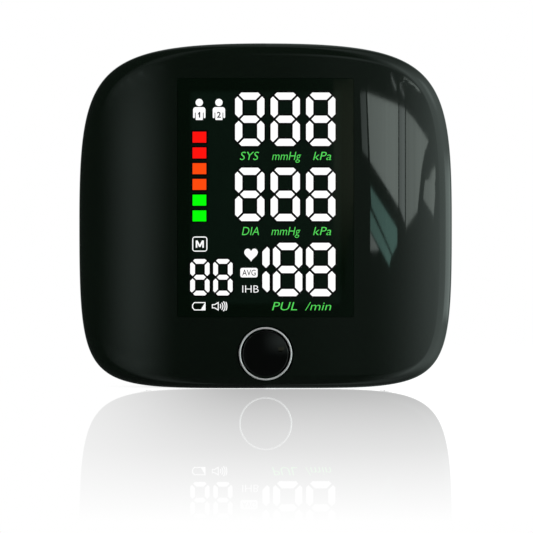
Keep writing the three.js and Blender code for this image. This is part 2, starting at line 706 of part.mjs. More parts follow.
function addDisplay() {
  const [z0, z1] = [lensFoot, lensFoot + lensHeight];
  const flangeY = WALL + FIT;
  const pane = crownedSlab(lensHalf, [z0, z1], [0, flangeY + LENS_FLANGE_DEPTH]);
  const rebate = crownedSlab(
    lensHalf + LENS_FLANGE,
    [z0 - LENS_FLANGE, z1 + LENS_FLANGE],
    [flangeY, flangeY + LENS_FLANGE_DEPTH],
  );
  piece(body, "display_lens", joined(pane, rebate), smoked);

  const moduleHeight = moduleTop - moduleFoot;
  const moduleZ = (moduleTop + moduleFoot) / 2;
  const face = rectangle(2 * moduleHalf, moduleHeight);
  const part = group(0, 0, moduleZ);
  const windows = maskWindows().map((points) => plate(points, [-FIT, MASK_DEPTH + FIT]));
  piece(part, "segment_mask", cut(plate(face, [0, MASK_DEPTH]), ...windows), mattBlack, [0, maskY, 0]);

  const stripWidth = layoutAcross * LEVEL_BAR.width + 2 * FIT;
  const stripX = layoutAcross * LEVEL_BAR.left;
  const stripDrawn = LEVEL_BAR.foot - LEVEL_BAR.pitch / 2;
  const stripFoot = MODULE_MARGIN - moduleHeight / 2 + layoutUp * stripDrawn;
  const stripPitch = layoutUp * BARS_PER_COLOUR * LEVEL_BAR.pitch;
  const pocketDepth = FILTER_DEPTH + SEAT;
  const pocket = block(
    [stripX - stripWidth / 2 - SEAT, stripX + stripWidth / 2 + SEAT],
    [-FIT, pocketDepth],
    [stripFoot - SEAT, stripFoot + levelColours.length * stripPitch + SEAT],
  );
  const diffuser = cut(plate(face, [0, DIFFUSER_DEPTH]), pocket);
  piece(part, "display_diffuser", diffuser, paleDiffuser, [0, diffuserY, 0]);

  levelColours.forEach(([colour, material], i) => {
    const strip = plate(rectangle(stripWidth, stripPitch - SEAT), [0, FILTER_DEPTH]);
    const z = stripFoot + (i + 0.5) * stripPitch;
    piece(part, `level_filter_${colour}`, strip, material, [stripX, diffuserY, z]);
  });

  const leds = [];
  for (let column = 0; column < LED_COLUMNS; column++) {
    for (let row = 0; row < LED_ROWS; row++) {
      const x = ((column + 0.5) / LED_COLUMNS - 0.5) * 2 * moduleHalf;
      const z = ((row + 0.5) / LED_ROWS - 0.5) * moduleHeight;
      leds.push(block(
        [x - LED.across / 2, x + LED.across / 2],
        [-LED.height, LED_BOARD_DEPTH / 2],
        [z - LED.up / 2, z + LED.up / 2],
      ));
    }
  }
  const ledBoard = joined(plate(face, [0, LED_BOARD_DEPTH]), ...leds);
  piece(part, "led_board", ledBoard, boardGreen, [0, ledBoardY, 0]);

  const inner = rectangle(2 * (moduleHalf + SEAT), moduleHeight + 2 * SEAT);
  const outer = rectangle(2 * frameHalf, moduleHeight + 2 * (SEAT + FRAME_WALL));
  const frameDepth = boardY - SEAT - maskY;
  const hollow = plate(inner, [-FIT, frameDepth + FIT]);
  piece(part, "display_frame", cut(plate(outer, [0, frameDepth]), hollow), darkPlastic, [0, maskY, 0]);
}

function addBoards() {
  const top = moduleTop + SEAT + FRAME_WALL;
  const edge = [[-frameHalf, BOARD_FOOT], [frameHalf, BOARD_FOOT], [frameHalf, top], [-frameHalf, top]];
  const part = group(0, boardY, 0);
  const holes = boardPostPlaces.map((place) =>
    bar("y", BOARD_SCREW.shank + FIT, [-FIT, BOARD_DEPTH + FIT], place));
  piece(part, "main_board", cut(plate(edge, [0, BOARD_DEPTH]), ...holes), boardGreen);
  boardPostPlaces.forEach(([x, z], i) => {
    piece(part, `board_screw_${i + 1}`, screw(BOARD_SCREW), steel, [x, BOARD_DEPTH + SEAT, z]);
  });

  const header = plate(rectangle(HEADER.width, HEADER.height), [0, HEADER.depth - 2 * SEAT]);
  const headerZ = (moduleFoot + moduleTop) / 2;
  piece(part, "board_header", header, chipBlack, [0, SEAT - HEADER.depth, headerZ]);
  const chip = plate(rectangle(CHIP.size, CHIP.size), [0, CHIP.depth]);
  piece(part, "controller_chip", chip, chipBlack, [-CHIP.size, BOARD_DEPTH + SEAT, CHIP.height]);

  const wellDepth = SWITCH.held + BUTTON_TRAVEL + FIT;
  const well = bar("y", SWITCH.plunger + SEAT, [-FIT, wellDepth]);
  const switchY = -SEAT - SWITCH.depth;
  const can = cut(plate(rectangle(SWITCH.size, SWITCH.size), [0, SWITCH.depth]), well);
  piece(part, "tact_switch", can, zinc, [0, switchY, BUTTON_HEIGHT]);
  const plunger = bar("y", SWITCH.plunger, [-SWITCH.out, SWITCH.held]);
  piece(part, "switch_plunger", plunger, paleNylon, [0, switchY, BUTTON_HEIGHT]);
}

// A hose nipple along one axis, its root sunk into the block that carries it, and its air way.
function barb(axis, [from, to], place) {
  return bar(axis, BARB.radius, [from, to], place);
}

function airWay(axis, [from, to], place) {
  return bar(axis, BARB.bore, [from, to], place);
}

function sleeve(axis, from, to) {
  const profile = [
    [TUBE.bore, from],
    [TUBE.radius, from],
    [TUBE.radius, to],
    [TUBE.bore, to],
    [TUBE.bore, from],
  ];
  const tube = turned("z", profile);
  return axis === "x" ? tube.rotate([0, 90, 0]) : tube;
}

function addAirPath() {
  const part = group(0, airY, airZ);
  const core = MANIFOLD_SIZE / 2;
  const reach = core + BARB.length;
  const cube = block([-core, core], [-core, core], [-core, core]);
  const barbs = [barb("x", [-reach, reach]), barb("z", [-reach, reach])];
  const ways = [airWay("x", [-reach - FIT, reach + FIT]), airWay("z", [-reach - FIT, reach + FIT])];
  piece(part, "air_manifold", cut(joined(cube, ...barbs), ...ways), paleNylon);

  const far = core + barbPair;
  const [near, end] = [core + TUBE.slack, far - TUBE.slack];
  piece(part, "cuff_tube", sleeve("z", -end, -near), silicone);
  piece(part, "valve_tube", sleeve("z", near, end), silicone);
  piece(part, "sensor_tube", sleeve("x", -end, -near), silicone);
  piece(part, "pump_tube", sleeve("x", near, bayX - PUMP_RADIUS - TUBE.slack), silicone);

  const chamber = block(
    [-far - SENSOR.size, -far],
    [SEAT - AIR_BEHIND_BOARD, SENSOR.depth - AIR_BEHIND_BOARD],
    [-SENSOR.size / 2, SENSOR.size / 2],
  );
  const port = barb("x", [-far - BARB.length / 2, BARB.length - far]);
  const sensor = cut(joined(chamber, port), airWay("x", [-far - BARB.length / 2, 0]));
  piece(part, "pressure_sensor", sensor, paleNylon);

  const frontEnd = -NIPPLE_RADIUS;
  const bladderFace = saddleY(nippleZ - cuffZ, -OUTER_PLY - CURLER - 2 * PLY_GAP);
  const tail = bladderFace + BLADDER_SKIN / 2 - airY;
  const elbowZ = nippleZ - airZ;
  const stub = bar("y", NIPPLE_RADIUS, [frontEnd, tail], [0, elbowZ]);
  const rise = barb("z", [elbowZ, elbowZ + NIPPLE_RADIUS + BARB.length]);
  const bores = [
    airWay("y", [0, tail + FIT], [0, elbowZ]),
    airWay("z", [elbowZ, elbowZ + NIPPLE_RADIUS + BARB.length + FIT]),
  ];
  piece(part, "cuff_nipple", cut(joined(stub, rise), ...bores), paleNylon);
}

function addValve() {
  const foot = airZ + MANIFOLD_SIZE / 2 + barbPair;
  const part = group(0, airY, foot);
  const coil = block(
    [-VALVE.width / 2, VALVE.width / 2],
    [SEAT - AIR_BEHIND_BOARD, VALVE.depth - AIR_BEHIND_BOARD],
    [0, VALVE.height],
  );
  const inlet = barb("z", [-BARB.length, VALVE.height / 2]);
  const seatZ = VALVE.height - VALVE.held - VALVE.travel;
  const well = bar("z", VALVE.bore, [seatZ, VALVE.height + FIT]);
  const way = airWay("z", [-BARB.length - FIT, VALVE.height]);
  piece(part, "valve_body", cut(joined(coil, inlet), well, way), zinc);
  const plungerZ = VALVE.height - VALVE.held;
  const plunger = bar("z", VALVE.plunger, [0, VALVE.held + VALVE.out]);
  piece(part, "valve_plunger", plunger, steel, [0, 0, plungerZ]);
}

function addPump() {
  const part = group(bayX, pumpY, PUMP_FOOT);
  const inside = PUMP_RADIUS - PUMP_WALL;
  const can = [
    [0, 0],
    [PUMP_RADIUS, 0],
    [PUMP_RADIUS, motorLength],
    [SHAFT_HOLE, motorLength],
    [SHAFT_HOLE, motorLength - PUMP_WALL],
    [inside, motorLength - PUMP_WALL],
    [inside, PUMP_WALL],
    [0, PUMP_WALL],
  ];
  piece(part, "pump_motor", turned("z", can), zinc);

  const shaftFoot = PUMP_WALL + SEAT;
  const [armatureFoot, armatureTop] = [2 * PUMP_WALL, motorLength - 3 * PUMP_WALL];
  const eccentricZ = headZ + 2 * PUMP_WALL;
  const shaftTop = eccentricZ + ECCENTRIC.height;
  const shaft = [
    [0, shaftFoot],
    [SHAFT_RADIUS, shaftFoot],
    [SHAFT_RADIUS, armatureFoot],
    [ARMATURE_RADIUS, armatureFoot],
    [ARMATURE_RADIUS, armatureTop],
    [SHAFT_RADIUS, armatureTop],
    [SHAFT_RADIUS, shaftTop],
    [0, shaftTop],
  ];
  const throwDisc = bar("z", ECCENTRIC.radius, [eccentricZ, shaftTop], [ECCENTRIC.offset, 0]);
  piece(part, "pump_rotor", joined(turned("z", shaft), throwDisc), copper);

  const head = [
    [SHAFT_HOLE, 0],
    [PUMP_RADIUS, 0],
    [PUMP_RADIUS, headLength],
    [inside, headLength],
    [inside, PUMP_WALL],
    [SHAFT_HOLE, PUMP_WALL],
    [SHAFT_HOLE, 0],
  ];
  piece(part, "pump_head", turned("z", head), darkPlastic, [0, 0, headZ]);

  const swashZ = shaftTop + FIT;
  const spots = [0, 1, 2].map((i) => {
    const turn = (i * 2 * Math.PI) / 3;
    return [SWASH.reach * Math.cos(turn), SWASH.reach * Math.sin(turn)];
  });
  const disc = bar("z", SWASH.radius, [0, SWASH.depth]);
  const sockets = spots.map((spot) => bar("z", SWASH.hole, [-FIT, SWASH.depth + FIT], spot));
  piece(part, "swash_plate", cut(disc, ...sockets), paleNylon, [0, 0, swashZ]);

  const drop = swashZ + SWASH.depth + FIT - diaphragmZ; // where the cups end, over the swash plate
  const sheet = bar("z", PUMP_RADIUS, [0, DIAPHRAGM.depth]);
  const cups = spots.map((spot) => bar("z", DIAPHRAGM.cup, [drop, DIAPHRAGM.depth / 2], spot));
  const stems = spots.map((spot) => bar("z", DIAPHRAGM.stem, [drop - FIT - SWASH.depth, 0], spot));
  piece(part, "pump_diaphragm", joined(sheet, ...cups, ...stems), rubberBlack, [0, 0, diaphragmZ]);

  const middleZ = PUMP_CAP / 2;
  const nozzleY = airY - pumpY;
  const tip = -PUMP_RADIUS - BARB.length;
  const nozzle = barb("x", [tip, 0], [nozzleY, middleZ]);
  const ways = [
    airWay("x", [tip - FIT, 0], [nozzleY, middleZ]),
    airWay("z", [-FIT, middleZ], [0, nozzleY]),
  ];
  const lid = cut(joined(bar("z", PUMP_RADIUS, [0, PUMP_CAP]), nozzle), ...ways);
  piece(part, "pump_cap", lid, darkPlastic, [0, 0, pumpCapZ]);
}

function addCell() {
  const part = group(-bayX, cellY, CELL.foot);
  const top = cellLength - CELL.nubHeight;
  const profile = [
    [0, 0],
    [CELL.radius, 0],
    [CELL.radius, top],
    [CELL.nub, top],
    [CELL.nub, cellLength],
    [0, cellLength],
  ];
  piece(part, "cell", turned("z", profile), cellWrap);
  const side = [-CELL_TAB.size / 2, CELL_TAB.size / 2];
  const tab = block(side, side, [0, CELL_TAB.depth]);
  piece(part, "cell_tab_top", tab, steel, [0, 0, cellLength + SEAT]);
  piece(part, "cell_tab_foot", tab, steel, [0, 0, -SEAT - CELL_TAB.depth]);
}

// Outline of the housing's side at the charging socket's height, drawn in by the draft there.
function sideX(z) {
  const edge = outline(DRAFT);
  const next = edge.findIndex((point) => point[1] > z);
  const [[x0, z0], [x1, z1]] = [edge[next - 1], edge[next]];
  return x0 + ((x1 - x0) * (z - z0)) / (z1 - z0);
}

const portMouthX = sideX(portZ + PORT.width / 2) - PORT.recess;
const hollowWallY = saddleY(portZ - PORT.width / 2 - cuffZ, FIT + WALL);
const portWallY = Math.min(hollowWallY, rimY - WALL); // the nearer of the hollow's wall and the flat back
const portBoardY = portWallY - PORT_BOARD.behind - PORT_BOARD.depth;
const portY = portBoardY - SEAT - PORT.depth / 2;

function portSlot() {
  const [w, d] = [PORT.width / 2 + FIT, PORT.depth / 2 + FIT];
  return block([portMouthX - PORT.length / 2, half + WALL], [portY - d, portY + d], [portZ - w, portZ + w]);
}

function portPost() {
  const x = portMouthX - PORT.length + PORT_BOARD.post;
  return bar("y", PORT_BOARD.post, [portBoardY + PORT_BOARD.depth + SEAT, rimY], [x, portZ]);
}

function addChargingSocket() {
  const part = group(portMouthX, portY, portZ);
  const [w, d, t] = [PORT.width / 2, PORT.depth / 2, PORT.wall];
  const shell = block([-PORT.length, 0], [-d, d], [-w, w]);
  const mouth = block([t - PORT.length, FIT], [t - d, d - t], [t - w, w - t]);
  const tongueReach = w - PORT.tongueGap;
  const tongue = block(
    [t / 2 - PORT.length, -PORT.recess],
    [-PORT.tongue / 2, PORT.tongue / 2],
    [-tongueReach, tongueReach],
  );
  piece(part, "charging_socket", joined(cut(shell, mouth), tongue), steel);
  const [x0, x1] = [-PORT.length - PORT_BOARD.margin, -PORT.length + PORT_BOARD.reach - PORT.recess - WALL];
  const board = block([x0, x1], [0, PORT_BOARD.depth], [-w, w]);
  piece(part, "charging_board", board, boardGreen, [0, d + SEAT, 0]);
}

function soundHoles() {
  const spots = [[0, 0]];
  for (let i = 0; i < SOUND_HOLES; i++) {
    const turn = (i * 2 * Math.PI) / SOUND_HOLES;
    spots.push([SOUND_REACH * Math.cos(turn), SOUND_REACH * Math.sin(turn)]);
  }
  return spots.map(([x, z]) =>
    bar("y", SOUND_HOLE, [rimY - 2 * WALL, rimY + FIT], [x, speakerZ + z], ROUND / 2));
}

function addSpeaker() {
  const part = group(0, rimY - WALL - SEAT, speakerZ);
  const front = -SPEAKER.depth;
  const profile = [
    [0, front - SPEAKER.magnetDepth],
    [SPEAKER.magnet, front - SPEAKER.magnetDepth],
    [SPEAKER.magnet, front],
    [SPEAKER.radius, front],
    [SPEAKER.radius, 0],
    [SPEAKER.radius - SPEAKER.rim, 0],
    [0, front / 2],
  ];
  piece(part, "speaker", turned("y", profile), chipBlack);
}

// Cuff shapes, in the frame of the loop's middle

// A place on the loop's outer face as [y, z], moved out square to it by an offset.
function cuffPoint(degrees, offset) {
  const turn = THREE.MathUtils.degToRad(degrees);
  const [c, s] = [Math.cos(turn), Math.sin(turn)];
  const out = new THREE.Vector2(-c / cuffReach, s / cuffRise).normalize();
  return new THREE.Vector2(-cuffReach * c, cuffRise * s).addScaledVector(out, offset);
}

// How far the free end's outer face has climbed from the fixed end's.
function freeLift(degrees) {
  return flapLift * THREE.MathUtils.smoothstep(WING_START - degrees, 0, RISE_SWEEP);
}

function bandAngles(from, to) {
  const [low, high] = [Math.min(from, to), Math.max(from, to)];
  const angles = [low];
  for (let angle = Math.ceil(low / BAND_STEP) * BAND_STEP; angle < high; angle += BAND_STEP) {
    if (angle > low) angles.push(angle);
  }
  return [...angles, high];
}

// A strip round the loop, square edged. Its two faces and its width may change with the angle.
function band(from, to, inner, outer, width, x = 0) {
  const at = (value, angle) => (typeof value === "function" ? value(angle) : value);
  const rings = bandAngles(from, to).map((angle) => {
    const [a, b, w] = [at(inner, angle), at(outer, angle), at(width, angle) / 2];
    return [[-w, a], [w, a], [w, b], [-w, b]].map(([across, offset]) => {
      const place = cuffPoint(angle, offset);
      return new THREE.Vector3(x + across, place.x, place.y);
    });
  });
  return skin(rings);
}

function flapWidth(degrees) {
  const perDegree = ((cuffRise + cuffReach) / 2) * THREE.MathUtils.degToRad(1);
  const left = (degrees - FLAP_END) * perDegree;
  const into = Math.max(FLAP_ROUND - left, 0); // how far into the rounded end
  return CUFF_WIDTH - 2 * (FLAP_ROUND - Math.sqrt(FLAP_ROUND ** 2 - into ** 2));
}

function addCuff() {
  const part = group(0, cuffY, cuffZ);
  const plyWidth = CUFF_WIDTH - 2 * (BINDING_WIDTH + PLY_GAP);
  const curlerTop = -OUTER_PLY - PLY_GAP;
  const bladderTop = curlerTop - CURLER - PLY_GAP;
  const liningTop = bladderTop - BLADDER - PLY_GAP;
  const local = ([x, z]) => [x, z - cuffZ];
  const portEnd = saddleY(nippleZ - cuffZ, bladderTop) - cuffY + BLADDER_SKIN + FIT;
  const port = bar("y", NIPPLE_RADIUS + FIT, [-cuffReach - WALL, portEnd], local([0, nippleZ]));
  const bossHoles = bossPlaces.map((place) => bar("y", BOSS_RADIUS + FIT, [-cuffReach, 0], local(place)));

  const outer = band(CUFF_START, CUFF_END, -OUTER_PLY, 0, plyWidth);
  piece(part, "cuff_outer", cut(outer, port, ...bossHoles), fabricBlack);

  const curlerEnds = [CUFF_START + CURLER_SHORT, CUFF_END - CURLER_SHORT];
  const sheet = band(...curlerEnds, curlerTop - CURLER, curlerTop, plyWidth - 2 * BINDING_WIDTH);
  const bosses = bossPlaces.map((place) => {
    const root = saddleY(BOSS_RISE, curlerTop - CURLER / 2) - cuffY;
    return bar("y", BOSS_RADIUS, [padY + SEAT - cuffY, root], local(place));
  });
  const pilots = bossPlaces.map((place) => {
    const from = padY - cuffY;
    return bar("y", CUFF_SCREW.shank + SEAT, [from - FIT, from + CUFF_SCREW.length + FIT], local(place));
  });
  piece(part, "cuff_curler", cut(joined(sheet, ...bosses), port, ...pilots), darkPlastic);
  bossPlaces.forEach((place, i) => {
    const [x, z] = local(place);
    const mesh = screw(CUFF_SCREW).rotate([0, 0, 180]);
    piece(part, `cuff_screw_${i + 1}`, mesh, steel, [x, padY - SEAT - cuffY, z]);
  });

  const bladderEnds = [CUFF_START + BLADDER_SHORT, CUFF_END - BLADDER_SHORT];
  const bladderWidth = plyWidth - 2 * BINDING_WIDTH;
  const bag = band(...bladderEnds, bladderTop - BLADDER, bladderTop, bladderWidth);
  const air = band(
    bladderEnds[0] + BLADDER_WELD,
    bladderEnds[1] - BLADDER_WELD,
    bladderTop - BLADDER + BLADDER_SKIN,
    bladderTop - BLADDER_SKIN,
    bladderWidth - 4 * BLADDER_SKIN,
  );
  piece(part, "cuff_bladder", cut(bag, air, port), bladderSkin);

  const lining = band(CUFF_START, CUFF_END, liningTop - LINING, liningTop, plyWidth);
  piece(part, "cuff_lining", lining, fabricGrey);
  [["left", -1], ["right", 1]].forEach(([side, sign]) => {
    const x = sign * (CUFF_WIDTH - BINDING_WIDTH) / 2;
    const binding = band(CUFF_START, CUFF_END, -cuffPlies, 0, BINDING_WIDTH, x);
    piece(part, `cuff_binding_${side}`, binding, fabricBlack);
  });

  const under = (degrees) => freeLift(degrees) - WING_PLY;
  piece(part, "cuff_wing", band(WING_END, WING_START, under, freeLift, CUFF_WIDTH), fabricBlack);
  piece(part, "cuff_flap", band(FLAP_END, FLAP_START, under, freeLift, flapWidth), fabricBlack);
  const hooks = band(HOOK_END, HOOK_START, PLY_GAP, PLY_GAP + HOOK_PLY, HOOK_WIDTH);
  piece(part, "hook_patch", hooks, fabricGrey);
}

addHousing();
addButton();
addDisplay();
addBoards();
addAirPath();
addValve();
addPump();
addCell();
addChargingSocket();
addSpeaker();
addCuff();

export default monitor;
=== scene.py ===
"""Looks of a wrist blood pressure monitor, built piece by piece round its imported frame."""

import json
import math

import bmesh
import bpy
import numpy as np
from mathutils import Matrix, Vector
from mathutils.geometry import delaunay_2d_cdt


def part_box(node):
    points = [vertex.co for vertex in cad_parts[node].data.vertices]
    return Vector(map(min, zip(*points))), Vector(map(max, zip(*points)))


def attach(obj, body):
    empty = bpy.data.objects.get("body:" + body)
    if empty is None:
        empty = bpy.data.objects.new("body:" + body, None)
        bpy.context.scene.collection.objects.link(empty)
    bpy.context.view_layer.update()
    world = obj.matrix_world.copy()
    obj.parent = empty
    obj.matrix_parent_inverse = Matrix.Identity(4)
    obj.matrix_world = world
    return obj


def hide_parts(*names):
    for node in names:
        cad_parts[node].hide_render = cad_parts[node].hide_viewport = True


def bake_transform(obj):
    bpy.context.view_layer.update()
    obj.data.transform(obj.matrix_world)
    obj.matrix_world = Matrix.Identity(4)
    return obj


bl_info = {
    "name": "Wrist Monitor Looks",
    "version": (1, 0, 0),
    "blender": (4, 5, 0),
    "location": "View3D > Sidebar > Monitor",
    "description": "Builds the shells, the lit display, the button and the cuff of a wrist monitor",
    "category": "Add Mesh",
}

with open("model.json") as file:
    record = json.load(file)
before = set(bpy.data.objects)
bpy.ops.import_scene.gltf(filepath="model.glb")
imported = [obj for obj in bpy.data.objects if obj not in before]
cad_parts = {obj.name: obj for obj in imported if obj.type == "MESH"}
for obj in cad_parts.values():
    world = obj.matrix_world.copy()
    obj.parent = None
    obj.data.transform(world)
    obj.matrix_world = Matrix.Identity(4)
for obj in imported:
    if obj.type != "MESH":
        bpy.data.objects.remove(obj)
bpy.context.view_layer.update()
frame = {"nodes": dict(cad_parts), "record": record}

MM = 0.001

# Housing, from the frame
cover_low, cover_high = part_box("front_cover")
HALF = cover_high.x
TOP = cover_high.z
FRONT = cover_low.y
SEAM = cover_high.y
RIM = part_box("rear_case")[1].y

# Housing outline and crown, as the frame has them
SIDE_HEIGHT = 34.9 * MM
BASE_HALF = 6 * MM
UPPER_CORNER_ACROSS = 2.8 * MM
UPPER_CORNER_DOWN = 5.4 * MM
LOWER_CORNER_ACROSS = 0.8 * MM
LOWER_CORNER_UP = 0.1 * MM
CROWN = 7 * MM
CROWN_POWER = 2.6
EDGE_RADIUS = 2.6 * MM
REAR_RADIUS = 2 * MM
DRAFT = 1 * MM
WALL = 2 * MM
SEAM_ROUND = 0.3 * MM
LIP_GAP = 0.3 * MM
LIP_WALL = 0.8 * MM
LIP_HEIGHT = 1.2 * MM
OUTLINE_STEPS = 56
BASE_STEPS = 4
EDGE_STEPS = 14
EDGE_CROWDING = 1.4
SEAM_BENDS = np.linspace(0, math.pi / 2, 4)
REAR_BENDS = np.linspace(math.pi / 2, 0, 9)
FRONT_WALL_STEPS = 4
REAR_WALL_STEPS = 10
MESH_STEP = 1.3 * MM
INSIDE_STEP = 2 * MESH_STEP
PANE_STEP = 0.8 * MESH_STEP
PANE_INSIDE_STEP = 3 * MESH_STEP
FACE_INSETS = (0.1 * MM, 0.35 * MM, 0.9 * MM)

# Window, button and ring, from the frame
lens_low, lens_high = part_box("display_lens")
LENS_FLANGE = 1.2 * MM
LENS_HALF = lens_high.x - LENS_FLANGE
LENS_FOOT = lens_low.z + LENS_FLANGE
LENS_TOP = lens_high.z - LENS_FLANGE
LENS_DEPTH = 2.4 * MM
WINDOW_CORNER = 0.5 * MM
WINDOW_BREAK = 0.04 * MM
WINDOW_BORDER = 2.2 * MM
WINDOW_SOFT = 1.2 * MM
ring_low, ring_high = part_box("button_ring")
BUTTON_Z = (ring_low.z + ring_high.z) / 2
RING_OUTER = ring_high.x
RING_WIDTH = 0.38 * MM
RING_INSET = 0.1 * MM
RING_TAIL = 2.2 * MM
RING_STEPS = 24
RING_SIDES = 144
GROOVE = 0.25 * MM
GROOVE_SIDES = 128
CAP_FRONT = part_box("start_button")[0].y
CAP_RADIUS = 4.8 * MM
CAP_DOME = 0.45 * MM
CAP_EDGE = 0.22 * MM
CAP_DEPTH = 2.8 * MM
CAP_DOME_STEPS = 16
CAP_EDGE_STEPS = 7
CAP_SIDES = 96

# Marks of the display, from the middle and the foot of the window
DIGIT = {"width": 6.28, "height": 11.3, "thick": 1.67, "corner": 1.36, "gap": 0.28}
MEMORY_DIGIT = {"width": 4.2, "height": 7.75, "thick": 1.15, "corner": 1.0, "gap": 0.2}
DIGIT_RIGHT = 11.5 * MM
DIGIT_PITCH = 7.4 * MM
PULSE_PITCH = 6.9 * MM
LEADING_ONE = 0.08 * MM
ROW_FOOT = 9.92 * MM
ROW_PITCH = 15.67 * MM
MEMORY_LEFT = -13.7 * MM
MEMORY_PITCH = 4.8 * MM
MEMORY_FOOT = 8.31 * MM
LEVEL_LEFT = -13.8 * MM
LEVEL_FOOT = 21.1 * MM
LEVEL_PITCH = 3.285 * MM
LEVEL_SIZE = (3.04 * MM, 2.45 * MM)
# Width of the painted dark halo of shade round each lit mark
SURROUND = 0.26 * MM
LIT_INSET = 0.085 * MM
MARK_DEPTH = 0.12 * MM
LEVEL_CORNER = 0.12 * MM
WORD_SHEAR = 0.22
WORD_WEIGHT = -0.006

# Cuff, as the frame has it
sleeve_low, sleeve_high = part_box("cuff_outer")
CUFF_RISE = (sleeve_high.z - sleeve_low.z) / 2
CUFF_REACH = 29 * MM
CUFF_Y = sleeve_low.y + CUFF_REACH
CUFF_Z = sleeve_low.z + CUFF_RISE
CUFF_MEAN = (CUFF_RISE + CUFF_REACH) / 2
CUFF_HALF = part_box("cuff_binding_right")[1].x
CUFF_THICK = 6 * MM
SLEEVE_ENDS = (-118.5, 104)
SLEEVE_SLACK = 0.75 * MM
SLACK_SWEEP = 18
SLEEVE_SWELL = 0.5 * MM
STRAP_SWELL = 0.25 * MM
STRAP_START = -118.7
STRAP_JOIN = -150
STRAP_END = -299.6
WING_HINGE = -119
FLAP_HINGE = -182
RISE_FROM = -119.5
RISE_SWEEP = 118
STRAP_LIFT = 3.9 * MM
STRAP_THICK = 2.5 * MM
STRAP_ROUND = 10 * MM
HOOK_ENDS = (-295, -262)
HOOK_HALF = 20 * MM
SADDLE_GAP = 0.3 * MM
SADDLE_SOFT = 0.9 * MM

# Cloth, tape and sewing of the cuff
SLEEVE_STEP = 1.5 * MM
STRAP_STEP = 1.3 * MM
CLOTH_ACROSS = 34
CLOTH_ANGLE = 70
SLEEVE_EDGE = 0.5
STRAP_EDGE = 0.62
EDGE_POWER = 7
SEWN_REACH = 4 * MM
SEWN_SIDE = 0.9
TAPE_ANGLE = 60
TAPE_POINTS = 9
TAPE_BULGE = 1.28
TAPE_TUCK = 0.1 * MM
END_TAPE_POINTS = 8
END_TAPE_STEPS = 31
END_TAPE_LIFT = 1.3
FOLD_STEPS = 6
SEWING_STEP = 1.2 * MM
SEWING_INSET = 0.72
SEWING_LIFT = 1.02


# Node trees


class Term:
    """An output socket of a node tree, whose arithmetic adds Math nodes."""

    def __init__(self, graph, socket):
        self.graph = graph
        self.socket = socket

    def math(self, operation, *values):
        return self.graph.add("ShaderNodeMath", {"operation": operation}, dict(enumerate(values)))

    def __add__(self, other):
        return self.math("ADD", self, other)

    __radd__ = __add__

    def __sub__(self, other):
        return self.math("SUBTRACT", self, other)

    def __rsub__(self, other):
        return self.math("SUBTRACT", other, self)

    def __mul__(self, other):
        return self.math("MULTIPLY", self, other)

    __rmul__ = __mul__

    def __truediv__(self, other):
        return self.math("DIVIDE", self, other)

    def __pow__(self, other):
        return self.math("POWER", self, other)

    def __abs__(self):
        return self.math("ABSOLUTE", self)

    def larger(self, other):
        return self.math("MAXIMUM", self, other)

    def sine(self):
        return self.math("SINE", self)


class Graph:
    """Adds nodes to a tree, their settings first and then the values or links of their sockets."""

    def __init__(self, tree):
        self.tree = tree

    def feed(self, value, socket):
        """Links a term to a socket, or sets the socket's own value."""
        if isinstance(value, Term):
            self.tree.links.new(value.socket, socket)
        else:
            socket.default_value = value

    def add(self, kind, settings=None, inputs=None, output=0):
        """One output of a new node, or all of them by name if none is asked for."""
        node = self.tree.nodes.new(kind)
        for name, value in (settings or {}).items():
            setattr(node, name, value)
        for name, value in (inputs or {}).items():
            self.feed(value, node.inputs[name])
        if output is None:
            return {socket.name: Term(self, socket) for socket in node.outputs}
        return Term(self, node.outputs[output]) if node.outputs else node

    def blend(self, share, first, second):
        settings = {"data_type": "RGBA"}
        return self.add("ShaderNodeMix", settings, {0: share, 6: first, 7: second}, 2)

    def smooth(self, value, low, high, start=0.0, end=1.0):
        """A soft step of a value from one level to another."""
        settings = {"interpolation_type": "SMOOTHSTEP"}
        inputs = {"Value": value, "From Min": low, "From Max": high, "To Min": start, "To Max": end}
        return self.add("ShaderNodeMapRange", settings, inputs)

    def bell(self, value, middle, full, far):
        """1 up to one distance from a middle, and softly down to 0 at another."""
        return self.smooth(abs(value - middle), full, far, 1.0, 0.0)

    def mix(self, share, first, second):
        return self.add("ShaderNodeMixShader", None, {0: share, 1: first, 2: second})

    def split(self, vector):
        return self.add("ShaderNodeSeparateXYZ", None, {0: vector}, None).values()


class Finish(Graph):
    """A material with a Principled shader, and the textures that its recipe adds."""

    def __init__(self, name, **constants):
        self.material = bpy.data.materials.new(name)
        self.material.use_nodes = True
        super().__init__(self.material.node_tree)
        self.shader = self.tree.nodes["Principled BSDF"]
        self.set(**constants)

    def set(self, **values):
        for name, value in values.items():
            self.feed(value, self.shader.inputs[name.replace("_", " ").title().replace("Ior", "IOR")])

    def tone(self, share, tint, low, high):
        """A base colour between two strengths of a tint."""
        self.set(base_color=self.blend(share, scaled(tint, low), scaled(tint, high)))

    def place(self):
        return self.add("ShaderNodeTexCoord", output="Object")

    def uv(self):
        return self.add("ShaderNodeTexCoord", output="UV")

    def noise(self, place, scale, detail=3.0, roughness=0.55):
        inputs = {"Vector": place, "Scale": scale, "Detail": detail, "Roughness": roughness}
        return self.add("ShaderNodeTexNoise", None, inputs, "Fac")

    def bump(self, height, strength, distance):
        inputs = {"Height": height, "Strength": strength, "Distance": distance}
        self.set(normal=self.add("ShaderNodeBump", None, inputs))


def rgba(colour):
    return (*colour[:3], 1.0)


def scaled(colour, factor):
    return (*(factor * c for c in colour[:3]), 1.0)


# Sizes and colours that a user may change


def length(name, description, millimetres):
    return bpy.props.FloatProperty(
        name=name, description=description, default=millimetres * MM, unit="LENGTH", precision=5
    )


def colour(name, description, red, green, blue):
    return bpy.props.FloatVectorProperty(
        name=name, description=description, default=(red, green, blue), subtype="COLOR", min=0, max=1
    )


